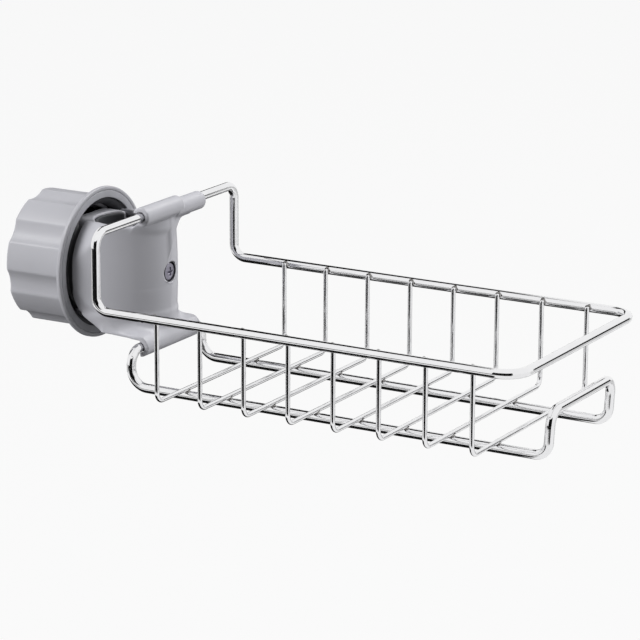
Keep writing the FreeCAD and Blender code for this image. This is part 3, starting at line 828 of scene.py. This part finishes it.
class BuildWelds(bpy.types.Operator):
    """Fill each crossing of two wires with a weld nugget"""
    bl_idname = "sponge_holder.welds"
    bl_label = "Weld nuggets"

    def execute(self, context):
        sizes = context.scene.sponge_holder.wires
        thin, thick = sizes.cross_diameter / 2, sizes.main_diameter / 2
        rail_low, rail_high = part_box("basket_rail_wire")
        rim_low, rim_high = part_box("basket_rim_wire")
        rail_top, rail_y = rail_low.z + 2 * thick, rail_high.y - thick
        rim_level, rim_inner = rim_low.z + thick, rim_high.y - 2 * thick
        vertices, faces = [], []
        for number, node in enumerate(CROSS_WIRES):
            low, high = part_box(node)
            x = (low.x + high.x) / 2
            gap_level = (low.z + rail_top) / 2
            leg_gap = (high.y + rim_inner) / 2
            for sign in (-1, 1):
                seed = 4 * number + sign
                for centre, along, across, ripple_seed in (
                    ((x, sign * rail_y, gap_level), (0, 1, 0), (1, 0, 0), seed),
                    ((x, sign * leg_gap, rim_level), (0, 0, 1), (sign, 0, 0), seed + 2),
                ):
                    faces += tube_faces(len(vertices), NUGGET_LEVELS, NUGGET_SIDES, True)
                    vertices += self.nugget(centre, along, across, thin, thick, sizes.weld_depth, ripple_seed)
        new_piece(context, "weld_nuggets", vertices, faces, "weld", HOLDER, "stainless_wire")
        return {"FINISHED"}

    def nugget(self, centre, thin_axis, thick_axis, thin, thick, depth, seed):
        """Rings of the metal squeezed out between a thin wire and the thick wire that it crosses."""
        centre, along, across = (np.array(value, float) for value in (centre, thin_axis, thick_axis))
        up = np.cross(thick_axis, thin_axis)
        vertices = []
        bite = thin * NUGGET_BITE
        for level in range(NUGGET_LEVELS):
            part = level / (NUGGET_LEVELS - 1)
            waist = NUGGET_FLARE - NUGGET_WAIST * math.sin(math.pi * part)
            for side in range(NUGGET_SIDES):
                turn = 2 * math.pi * side / NUGGET_SIDES
                ripple = 1 + COARSE_RIPPLE * math.sin(3 * turn + seed) + FINE_RIPPLE * math.sin(5 * turn + 2 * seed)
                reach_along = math.sqrt(2 * thick * depth) * math.cos(turn) * ripple
                reach_across = math.sqrt(2 * thin * depth) * math.sin(turn) * ripple
                top = thin - math.sqrt(max(thin ** 2 - (reach_across * NUGGET_SPREAD) ** 2, 0)) + bite
                bottom = math.sqrt(max(thick ** 2 - (reach_along * NUGGET_SPREAD) ** 2, 0)) - thick - bite
                height = bottom + (top - bottom) * part
                vertices.append(centre + (along * reach_along + across * reach_across) * waist + up * height)
        return vertices


class BuildBracket(bpy.types.Operator):
    """Mould the clamp bracket with its clips, canopy and screw recess"""
    bl_idname = "sponge_holder.bracket"
    bl_label = "Clamp bracket"

    def execute(self, context):
        settings = context.scene.sponge_holder
        low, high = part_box("clamp_bracket")
        room = Vector((BRACKET_ROOM, BRACKET_ROOM, BRACKET_ROOM))
        moulded_piece(context, "clamp_bracket_moulding", bracket_field(settings), low - room, high + room,
                      settings.bracket.step, "grey_plastic", HOLDER, "clamp_bracket")
        return {"FINISHED"}


def bracket_field(settings):
    """Shell, clips, foot and hook, less the socket, the bore, the grooves and the screw's recess."""
    sizes, jaw, knob = settings.bracket, settings.jaw, settings.knob
    wire = settings.wires.main_diameter / 2
    low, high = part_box("clamp_bracket")
    rear, half_width = low.x, -low.y
    half_height = sizes.height / 2
    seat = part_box("screw_washer")[0].x
    nose = seat + sizes.recess_depth
    tip = nose + sizes.nose_lead
    plain_radius = sizes.core_radius
    rim_low, rim_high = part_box("basket_rim_wire")
    bar_x, bar_z = rim_low.x + wire, rim_high.z - wire
    clip = high.x - bar_x
    slim, slim_z = clip - sizes.clip_step, bar_z - sizes.clip_drop
    hook_x, hook_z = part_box("basket_rail_wire")[0].x + wire, low.z + clip
    canopy_bottom = hook_z + sizes.clip_bore + sizes.canopy_gap
    canopy_top = sizes.canopy_bite - half_height
    canopy_level = canopy_bottom + sizes.canopy_edge
    canopy_half = half_width - sizes.canopy_inset
    foot_half = half_width - sizes.foot_inset
    closed_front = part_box("knob")[1].x + slide_limit()
    closed_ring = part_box("flange_ring")[1].x + slide_limit()
    socket_half = half_width - sizes.side_wall
    socket_nose = nose - sizes.nose_wall
    lip_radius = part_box("grip_pad")[1].x
    recess_face = nose + sizes.recess_face
    soft = sizes.soft_edge

    def shell_field(x, z, plan, round_x):
        shell = meet(plan, np.abs(z) - half_height, sizes.edge_round)
        shell = meet(shell, round_x - half_width - sizes.shoulder - sizes.round_taper * (x - rear), sizes.edge_round)
        return meet(shell, rear - x, soft)

    def clips_field(x, y, z, plan):
        thick = bar(x, y, z, bar_x, bar_z, clip, sizes.clip_front, sizes.clip_seam, soft)
        thin = bar(x, y, z, bar_x, slim_z, slim, sizes.clip_seam - clip, high.y, soft)
        hollow = sizes.gusset_depth * (np.maximum(1 - y / sizes.gusset_back, 0)) ** 2
        web = np.maximum(span(y, 0, sizes.gusset_back + clip), span(z, slim_z - slim - hollow, slim_z))
        web = meet(web, np.abs(x - bar_x) - sizes.gusset_width / 2, soft)
        corbel = meet(span(y, sizes.corbel_front, sizes.corbel_back), plan - sizes.corbel_reach, clip)
        middle = (sizes.corbel_front + sizes.corbel_back) / 2
        smile = sizes.corbel_bite * (1 - (2 * (y - middle) / (sizes.corbel_back - sizes.corbel_front)) ** 2)
        corbel = meet(corbel, span(z, half_height - smile, bar_z - clip / 2), 2 * soft)
        corbel = np.maximum(corbel, span(x, jaw.seat_radius, bar_x + clip / 2))
        return join(join(np.minimum(thick, thin), web, soft), corbel, soft)

    def lower_edge(x):
        return np.interp(x, (rear, sizes.foot_rear, hook_x),
                         (sizes.foot_heel, canopy_bottom + sizes.foot_edge, canopy_bottom))

    def knob_way(x, round_x):
        mouth = knob.mouth_radius + np.clip(x - closed_front + knob.mouth_chamfer, 0, knob.mouth_chamfer)
        return np.maximum(mouth - sizes.knob_room - round_x, x - closed_ring - sizes.knob_room)

    def foot_field(x, y, z, round_x):
        plan = bullet_plan(x, y, nose - sizes.side_wall, rear, foot_half, plain_radius, 0)
        walls = meet(plan, span(z, hook_z, sizes.foot_start), soft)
        walls = cut(walls, knob_way(x, round_x), soft / 4)
        walls = np.maximum(walls, rear - x)
        root = bullet_plan(x, y, nose - sizes.side_wall, sizes.canopy_root, canopy_half, plain_radius, 0)
        rim_middle, rim_half = (sizes.canopy_rear + hook_x) / 2, (hook_x - sizes.canopy_rear) / 2
        rim = rounded_block(x - rim_middle, y, rim_half, canopy_half, soft)
        drop = np.clip((canopy_top - z) / (canopy_top - canopy_level), 0, 1) ** CANOPY_FLARE
        canopy = meet(root * (1 - drop) + rim * drop, span(z, canopy_bottom, canopy_top), soft)
        hook = bar(x, y, z, hook_x, hook_z, clip, -canopy_half, canopy_half, soft)
        canopy = meet(join(canopy, hook, sizes.canopy_blend), np.abs(y) - canopy_half, soft)
        return walls, canopy

    def field(x, y, z):
        leaned = x + sizes.crown_top * (np.maximum(z, 0) / half_height) ** 2 \
            + sizes.crown_bottom * (np.minimum(z, 0) / half_height) ** 2
        round_x = np.hypot(y, z)
        plan = bullet_plan(leaned, y, tip, rear, half_width, sizes.nose_radius, sizes.nose_crease)
        walls, canopy = foot_field(x, y, z, round_x)
        shell = shell_field(x, z, plan, round_x)
        body = join(join(shell, walls, sizes.foot_blend), canopy, sizes.canopy_blend)
        body = cut(body, np.maximum(z - lower_edge(x), x - hook_x), soft / 2)
        body = cut(np.minimum(body, shell), knob_way(x, round_x), soft / 4)
        body = join(body, clips_field(x, y, z, plan), sizes.clip_blend)

        face = np.maximum(round_x - sizes.recess_radius - 2 * sizes.recess_lip, recess_face - x)
        body = cut(body, face, soft / 4)
        lip = np.hypot(round_x - sizes.recess_radius - sizes.recess_lip, x - recess_face) - sizes.recess_lip
        body = join(body, lip, sizes.recess_lip / 2)

        socket = bullet_plan(x, y, socket_nose, rear, socket_half, plain_radius - sizes.side_wall, 0)
        socket = np.maximum(np.maximum(socket, round_x - socket_half), span(z, -half_height, half_height - sizes.roof))
        body = cut(body, socket, soft)
        body = cut(body, bore_way(x, y, jaw), soft)
        body = cut(body, np.maximum(np.hypot(x, y) - lip_radius, half_height - z), soft)
        upper_groove = np.hypot(x - bar_x, z - bar_z) - sizes.clip_bore
        upper_mouth = np.maximum(np.abs(z - bar_z) - sizes.clip_mouth / 2, x - bar_x)
        body = cut(body, np.minimum(upper_groove, upper_mouth), soft / 2)
        body = cut(body, np.hypot(x - hook_x, z - hook_z) - sizes.clip_bore, soft / 2)
        recess = np.maximum(round_x - sizes.recess_radius, seat - x)
        body = cut(body, recess, soft / 2)
        return cut(body, np.maximum(round_x - jaw.shank, -x), soft / 4)

    return field


def bore_way(x, y, jaw):
    """The bore, with the open way into it from the rear."""
    return np.minimum(np.hypot(x, y) - jaw.seat_radius, np.maximum(np.abs(y) - jaw.slot_half, x))


def slide_limit():
    """How far the knob and the saddle move when the clamp is fully closed."""
    joints = frame["record"]["behaviour"]["joints"]
    return next(joint["range_m"][1] for joint in joints if joint["name"] == "saddle_slide")


class BuildKnob(bpy.types.Operator):
    """Mould the fluted hand knob and the soft ring on its flange"""
    bl_idname = "sponge_holder.knob"
    bl_label = "Knob and flange ring"

    def execute(self, context):
        settings = context.scene.sponge_holder
        low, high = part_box("knob")
        # The knob takes the darker copy of the grey plastic, a painted shade
        moulded_piece(context, "knob_moulding", knob_field(settings), low, high, settings.knob.step,
                      "grey_plastic", KNOB, "knob", finish="knob_plastic")
        self.flange_ring(context, settings.knob)
        return {"FINISHED"}

    def flange_ring(self, context, sizes):
        low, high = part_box("flange_ring")
        inner, outer = sizes.mouth_radius + sizes.mouth_chamfer, high.y - sizes.flange_lip
        edge = (high.x - low.x) / 3
        profile = [(low.x, inner), (high.x - edge, inner)]
        profile += rounded(high.x - edge, inner + edge, edge, 180, 90)
        profile += rounded(high.x - edge, outer - edge, edge, 90, 0)
        profile += [(low.x, outer)]
        vertices, faces = lathe(profile, RING_SIDES)
        new_piece(context, "flange_ring_moulding", vertices, faces, "charcoal_rubber", KNOB, "charcoal_rubber",
                  "flange_ring")
        # A black rubber skin over the mouth's chamfer paints the shade inside the mouth
        front, mouth = low.x, sizes.mouth_radius
        shade_skin = sizes.lining
        lining = [(front, inner), (front + shade_skin, inner - shade_skin / 3), (front - sizes.mouth_chamfer, mouth - shade_skin),
                  (front - 2 * sizes.mouth_chamfer, mouth - shade_skin), (front - 2 * sizes.mouth_chamfer, mouth),
                  (front - sizes.mouth_chamfer, mouth)]
        vertices, faces = lathe(lining[::-1], RING_SIDES)
        new_piece(context, "knob_mouth_lining", vertices, faces, "black_rubber", KNOB, "black_rubber")


def rounded(centre_x, centre_radius, radius, first, last, steps=6):
    """Profile points round an edge, from one angle to another in degrees, 90 being +X."""
    for step in range(steps + 1):
        turn = math.radians(first + (last - first) * step / steps)
        yield centre_x + radius * math.sin(turn), centre_radius + radius * math.cos(turn)


def lathe(profile, sides):
    """Ring turned about the screw axis from a closed profile of X and radius."""
    vertices, faces = [], []
    count = len(profile)
    for side in range(sides):
        turn = 2 * math.pi * side / sides
        vertices.extend((x, radius * math.cos(turn), radius * math.sin(turn)) for x, radius in profile)
    for side in range(sides):
        here, there = side * count, (side + 1) % sides * count
        for index in range(count):
            ahead = (index + 1) % count
            faces.append((here + index, here + ahead, there + ahead, there + index))
    return vertices, faces


def knob_field(settings):
    """Fluted grip, flange, threaded hollow and pivot boss."""
    sizes = settings.knob
    low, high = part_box("knob")
    end, front, flange_radius = low.x, high.x, high.y
    boss_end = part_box("saddle")[0].x - sizes.boss_gap
    shoulder = boss_end - sizes.boss_gap
    floor = end + sizes.end_wall
    flange_back = front - sizes.flange_thickness
    ring_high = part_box("flange_ring")[1]
    lip_inner, lip_front = ring_high.y - sizes.flange_lip, ring_high.x
    flute_step = 2 * math.pi / sizes.flutes
    flute_centre = sizes.grip_radius - sizes.flute_depth + sizes.flute_radius

    def field(x, y, z):
        radius = np.hypot(y, z)
        turn = np.mod(np.arctan2(z, y) - sizes.flute_start + flute_step / 2, flute_step) - flute_step / 2
        flute = np.hypot(radius * np.cos(turn) - flute_centre, radius * np.sin(turn)) - sizes.flute_radius
        grip = cut(radius - sizes.grip_radius, flute, sizes.flute_round)
        grip = meet(grip, end - x, sizes.end_round)
        grip = np.maximum(grip, x - front)
        flange = meet(radius - flange_radius, span(x, flange_back, front), sizes.flange_round)
        lip = meet(span(radius, lip_inner, flange_radius), span(x, front - sizes.flange_round, lip_front),
                   sizes.flange_round / 2)
        body = join(grip, np.minimum(flange, lip), sizes.flange_root)

        mouth = np.maximum(radius - sizes.mouth_radius, shoulder - x)
        chamfer = (radius - sizes.mouth_radius - sizes.mouth_chamfer + front - x) / math.sqrt(2)
        hollow = np.maximum(radius - sizes.thread_root, floor - x)
        body = cut(body, np.minimum(np.minimum(mouth, chamfer), hollow), sizes.flange_round / 2)
        ridge = thread_ridge(x, y, z, sizes.thread_pitch, sizes.thread_pitch / 2, sizes.thread_root,
                             sizes.thread_crest, sizes.thread_root_width, sizes.thread_crest_width)
        ridge = np.maximum(np.maximum(ridge, radius - sizes.thread_root - sizes.flange_round), span(x, floor, shoulder))
        body = join(body, ridge, sizes.flange_round / 3)
        boss = np.maximum(radius - sizes.boss_radius, span(x, end + sizes.end_wall / 2, boss_end))
        return join(body, boss, sizes.flange_round)

    return field


class BuildJaws(bpy.types.Operator):
    """Mould the fork, the saddle and the rubber pads"""
    bl_idname = "sponge_holder.jaws"
    bl_label = "Fork, saddle and pads"

    def execute(self, context):
        settings = context.scene.sponge_holder
        step = settings.jaw.step
        for name, node, field, slot, body in (
            ("clamp_fork_moulding", "clamp_fork", fork_field(settings), "dark_plastic", HOLDER),
            ("grip_pad_moulding", "grip_pad", grip_pad_field(settings), "black_rubber", HOLDER),
            ("saddle_moulding", "saddle", saddle_field(settings), "grey_plastic", SADDLE),
            ("saddle_pad_moulding", "saddle_pad", saddle_pad_field(settings), "black_rubber", SADDLE),
        ):
            low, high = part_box(node)
            moulded_piece(context, name, field, low, high, step, slot, body, node)
        return {"FINISHED"}


def fork_field(settings):
    """Web round the bore's front and two threaded arms."""
    sizes, knob, bracket = settings.jaw, settings.knob, settings.bracket
    low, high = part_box("clamp_fork")
    top = bracket.height / 2 - bracket.roof
    nose_radius = bracket.core_radius - bracket.side_wall

    def field(x, y, z):
        radius = np.hypot(y, z)
        plan = bullet_plan(x, y, high.x, sizes.fork_shoulder, sizes.fork_radius, nose_radius, 0)
        web = meet(meet(plan, span(z, low.z, top), sizes.edge), radius - sizes.fork_radius, sizes.edge)
        arms = np.maximum(radius - sizes.fork_radius, span(x, low.x, sizes.fork_shoulder + sizes.edge))
        ridge = thread_ridge(x, y, z, knob.thread_pitch, 0, sizes.fork_radius, sizes.fork_crest,
                             knob.thread_root_width, knob.thread_crest_width)
        ridge = np.maximum(ridge, sizes.fork_radius - sizes.edge - radius)
        ridge = np.maximum(ridge, span(x, low.x, sizes.fork_thread))
        body = np.minimum(join(np.maximum(web, sizes.fork_shoulder - x), arms, sizes.edge), ridge)
        body = meet(body, low.x - x, sizes.edge)
        return cut(body, bore_way(x, y, sizes), sizes.edge)

    return field


def pad_band(x, y, z, sizes, outer, sweep, low, high):
    """Rubber band on the bore's wall, with its middle on +X."""
    radius = np.hypot(x, y)
    band = meet(span(radius, sizes.bore_radius, outer), (np.abs(np.arctan2(y, x)) - sweep / 2) * radius, sizes.edge)
    return meet(band, span(z, low, high), sizes.edge)


def grip_pad_field(settings):
    """Rubber lining with a lip over the fork's top."""
    sizes = settings.jaw
    low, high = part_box("grip_pad")
    lip_low = settings.bracket.height / 2

    def field(x, y, z):
        lining = pad_band(x, y, z, sizes, sizes.pad_radius, sizes.pad_arc, low.z, high.z)
        lip = pad_band(x, y, z, sizes, high.x, sizes.lip_arc, lip_low, high.z)
        return join(lining, lip, sizes.edge / 2)

    return field


def saddle_field(settings):
    """Hollow sliding jaw with room for the pivot screw's head."""
    sizes = settings.jaw
    low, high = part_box("saddle")
    head_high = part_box("pivot_screw")[1]
    gap = settings.knob.boss_gap

    def field(x, y, z):
        radius = np.hypot(y, z)
        block = rounded_block(y, z, high.y, high.z, sizes.saddle_corner)
        block = meet(block, span(x, low.x, high.x), sizes.edge)
        block = cut(block, np.hypot(x, y) - sizes.seat_radius, sizes.edge)
        block = cut(block, radius - sizes.pivot_shank, sizes.edge / 4)
        room = np.maximum(radius - head_high.y - gap, head_high.x - sizes.pivot_head_height - gap - x)
        return cut(block, room, sizes.edge / 4)

    return field


def saddle_pad_field(settings):
    """Rubber lining of the saddle."""
    sizes = settings.jaw
    low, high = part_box("saddle_pad")

    def field(x, y, z):
        return pad_band(-x, y, z, sizes, sizes.pad_radius, sizes.saddle_pad_arc, low.z, high.z)

    return field


class BuildScrews(bpy.types.Operator):
    """Make the two cross-recessed screws and the washer"""
    bl_idname = "sponge_holder.screws"
    bl_label = "Screws and washer"

    def execute(self, context):
        sizes = context.scene.sponge_holder.jaw
        for node, shank, head, body in (
            ("bracket_screw", sizes.shank, sizes.head_height, HOLDER),
            ("pivot_screw", sizes.pivot_shank, sizes.pivot_head_height, KNOB),
        ):
            low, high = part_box(node)
            field = screw_field(sizes, low, high, shank, head)
            moulded_piece(context, node + "_turned", field, low, high, sizes.screw_step, "screw_steel", body, node)
        self.washer(context, sizes)
        return {"FINISHED"}

    def washer(self, context, sizes):
        low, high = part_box("screw_washer")
        edge = (high.x - low.x) / 4
        inner = sizes.shank + edge / 2
        outer = high.y
        profile = [(low.x, inner), (high.x - edge, inner)]
        profile += rounded(high.x - edge, inner + edge, edge, 180, 90)
        lip = sizes.cup_wall / 2
        profile += [(high.x, outer - 2 * lip - edge), (high.x + edge, outer - 2 * lip)]
        profile += rounded(low.x + sizes.cup_height - lip, outer - lip, lip, 180, 0)
        profile += [(low.x, outer)]
        # Near-black steel on the washer paints the shade in the screw's recess
        vertices, faces = lathe(profile, WASHER_SIDES)
        new_piece(context, "screw_washer_turned", vertices, faces, "black_steel", HOLDER, "screw_steel", "screw_washer")


def screw_field(sizes, low, high, shank, head_height):
    """Domed head with a tapered cross recess, on a plain shank."""
    head_radius = high.y
    seat = high.x - head_height
    dome_radius = (head_radius ** 2 + sizes.head_crown ** 2) / (2 * sizes.head_crown)
    soft = sizes.head_crown / 3

    def field(x, y, z):
        radius = np.hypot(y, z)
        dome = np.hypot(x - high.x + dome_radius, radius) - dome_radius
        head = meet(meet(radius - head_radius, dome, soft), seat - x, soft)
        stem = np.maximum(radius - shank, span(x, low.x, high.x - head_height / 2))
        body = join(head, stem, soft)
        depth = high.x - x
        wing = sizes.drive_span / 2 - depth * sizes.drive_span / (4 * sizes.drive_depth)
        thin = sizes.drive_width / 2 - depth / 6
        upright = np.maximum(np.abs(y) - thin, np.abs(z) - wing)
        level = np.maximum(np.abs(z) - thin, np.abs(y) - wing)
        drive = np.maximum(np.minimum(upright, level), depth - min(sizes.drive_depth, head_height * DRIVE_SHARE))
        return cut(body, drive, soft / 2)

    return field


class BuildStage(bpy.types.Operator):
    """Set up the floor, the lamps, the dark cards, the even light and the camera"""
    bl_idname = "sponge_holder.stage"
    bl_label = "Stage"

    def execute(self, context):
        sizes = context.scene.sponge_holder.stage
        self.camera(context, sizes)
        self.world(context, sizes)
        self.floor(context, sizes)
        self.lamps(context)
        self.cards(context, sizes)
        context.scene.view_settings.view_transform = "Standard"
        return {"FINISHED"}

    def camera(self, context, sizes):
        data = bpy.data.cameras.new("camera")
        data.lens = sizes.lens
        data.sensor_width = SENSOR_WIDTH
        data.clip_end = 100.0
        camera = bpy.data.objects.new("camera", data)
        turn = Matrix.Rotation(sizes.azimuth, 4, "Z") @ Matrix.Rotation(math.pi / 2 - sizes.elevation, 4, "X")
        camera.matrix_world = Matrix.Translation(sizes.eye) @ turn @ Matrix.Rotation(sizes.roll, 4, "Z")
        context.scene.collection.objects.link(camera)
        context.scene.camera = camera

    def world(self, context, sizes):
        """White to the eye and in reflections, an even fill to everything else."""
        world = bpy.data.worlds.new("studio")
        context.scene.world = world
        finish = Finish(world)
        seen = seen_rays(finish)
        fill = finish.node("ShaderNodeBackground", None, {"Color": WHITE, "Strength": sizes.fill})
        white = finish.node("ShaderNodeBackground", None, {"Color": WHITE, "Strength": 1.0})
        mixed = finish.node("ShaderNodeMixShader", None, {0: seen, 1: fill, 2: white})
        finish.node("ShaderNodeOutputWorld", None, {"Surface": mixed})

    def floor(self, context, sizes):
        half, level = sizes.floor_size / 2, -sizes.floor_drop
        finish = new_finish("pale_floor")
        grain = finish.noise(finish.place(), 25.0)
        tones = [shade((tone, tone, tone), 1.0) for tone in FLOOR_TONES]
        lit = finish.node("ShaderNodeBsdfDiffuse", None, {"Color": finish.tint(grain, *tones)})
        white = finish.node("ShaderNodeEmission", None, {"Color": WHITE, "Strength": 1.0})
        mixed = finish.node("ShaderNodeMixShader", None, {0: seen_rays(finish) * FLOOR_WHITE, 1: lit, 2: white})
        finish.node("ShaderNodeOutputMaterial", None, {"Surface": mixed})
        corners = [(-half, -half, level), (half, -half, level), (half, half, level), (-half, half, level)]
        stage_sheet(context, "floor", corners, finish.owner)

    def lamps(self, context):
        """A broad key from the left, a small box high over it, a top box behind and a softer one from the right."""
        aim = Vector(LAMP_AIM)
        polished = self.mirrors(context)
        for name, place, side, energy, shines in LAMPS:
            data = bpy.data.lights.new(name, "AREA")
            data.shape = "SQUARE"
            data.size = side
            data.energy = energy
            lamp = bpy.data.objects.new(name, data)
            lamp.light_linking.receiver_collection = polished
            lamp.visible_glossy = shines
            place = Vector(place)
            lamp.matrix_world = Matrix.Translation(place) @ (aim - place).to_track_quat("-Z", "Y").to_matrix().to_4x4()
            context.scene.collection.objects.link(lamp)

    def mirrors(self, context):
        """The bright wires, which mirror the white surroundings and the cards but not the lamps themselves."""
        polished = bpy.data.collections.new("polished_wires")
        bright = [finish_of(context, name) for name in ("stainless_wire", "weld")]
        for item in context.scene.objects:
            if item.type == "MESH" and item.active_material in bright:
                polished.objects.link(item)
        for member in polished.collection_objects:
            member.light_linking.link_state = "EXCLUDE"
        return polished

    def cards(self, context, sizes):
        """Dark and grey cards round the set, seen only in reflections, that draw lines on the bright wires."""
        level = CARD_LIFT - sizes.floor_drop
        beneath = [(0.12, -0.30), (0.12, 0.45), (-0.15, 1.4), (-0.95, 1.4), (-0.45, 0.35), (-0.26, -0.30)]
        over = [(-0.52, 0.05), (-0.20, 0.05), (-0.45, 1.10), (-0.85, 1.10)]
        side = arc(0.50, -200, -144) + arc(1.30, -144, -200)
        front = arc(0.66, -142, -34) + arc(1.5, -34, -142)
        behind = [(0.30, 0.25), (0.95, 0.45), (1.70, 1.70), (0.45, 2.00)]
        dark, grey = self.card_finish("dark_card", DARK_CARD), self.card_finish("grey_card", GREY_CARD)
        for name, finish, vertices in (
            ("card_beneath", dark, [(x, y, level) for x, y in beneath]),
            ("card_front", dark, [(x, y, level) for x, y in front]),
            ("card_behind", grey, [(x, y, level) for x, y in behind]),
            ("card_side", grey, [(x, y, level) for x, y in side]),
            ("card_over", dark, [(x, y, 0.90) for x, y in over]),
            ("card_wall", dark, upright(arc(1.5, -104, -34), level, 0.80)),
            ("card_right", dark, upright([(0.756, 0.817), (0.611, 0.928)], -0.15, 0.13)),
            ("card_left", dark, upright([(-0.50, 1.00), (-0.80, 0.90)], -0.04, 0.85)),
        ):
            card = stage_sheet(context, name, vertices, finish)
            card.visible_camera = False
            card.visible_diffuse = False
            card.visible_shadow = False

    def card_finish(self, name, value):
        finish = new_finish(name)
        weave = finish.noise(finish.place(), 40.0)
        tone = (value, value, value)
        cloth = finish.tint(weave, shade(tone, 0.8), shade(tone, 1.2))
        surface = finish.node("ShaderNodeBsdfDiffuse", None, {"Color": cloth})
        finish.node("ShaderNodeOutputMaterial", None, {"Surface": surface})
        return finish.owner


def stage_sheet(context, name, vertices, finish):
    """One flat face that belongs to the stage and not to the holder."""
    mesh = bpy.data.meshes.new(name)
    mesh.from_pydata(vertices, [], [tuple(range(len(vertices)))])
    mesh.materials.append(finish)
    sheet = bpy.data.objects.new(name, mesh)
    context.scene.collection.objects.link(sheet)
    return sheet


def arc(reach, first, last, steps=9):
    """Points on the floor round the clamp, from one azimuth to another in degrees."""
    turns = [math.radians(first + (last - first) * step / steps) for step in range(steps + 1)]
    return [(reach * math.cos(turn), reach * math.sin(turn)) for turn in turns]


def upright(line, low, high):
    """A standing card over a line of floor points."""
    return [(x, y, low) for x, y in line] + [(x, y, high) for x, y in reversed(line)]


def seen_rays(finish):
    """One for rays from the eye and for mirrored or refracted ones, nought for the rest."""
    eye, gloss, through = (finish.node("ShaderNodeLightPath", None, None, "Is %s Ray" % kind)
                           for kind in ("Camera", "Glossy", "Transmission"))
    return finish.math("MINIMUM", eye + gloss + through, 1.0)


class SpongeHolderPanel(bpy.types.Panel):
    """Lists the sponge holder's pieces"""
    bl_idname = "VIEW3D_PT_sponge_holder"
    bl_label = "Sponge holder"
    bl_space_type = "VIEW_3D"
    bl_region_type = "UI"
    bl_category = "Sponge holder"

    def draw(self, context):
        for operator in OPERATORS:
            self.layout.operator(operator.bl_idname)


SETTINGS = (WireSettings, BracketSettings, KnobSettings, JawSettings, FinishSettings, StageSettings, HolderSettings)
OPERATORS = (BuildBasketWires, BuildWelds, BuildBracket, BuildKnob, BuildJaws, BuildScrews, BuildStage)


def register():
    for item in SETTINGS + OPERATORS + (SpongeHolderPanel,):
        bpy.utils.register_class(item)
    bpy.types.Scene.sponge_holder = bpy.props.PointerProperty(type=HolderSettings)


def unregister():
    del bpy.types.Scene.sponge_holder
    for item in reversed(SETTINGS + OPERATORS + (SpongeHolderPanel,)):
        bpy.utils.unregister_class(item)


def main():
    register()
    bpy.ops.sponge_holder.basket_wires()
    bpy.ops.sponge_holder.welds()
    bpy.ops.sponge_holder.bracket()
    bpy.ops.sponge_holder.knob()
    bpy.ops.sponge_holder.jaws()
    bpy.ops.sponge_holder.screws()
    bpy.ops.sponge_holder.stage()


if __name__ == "__main__":
    main()
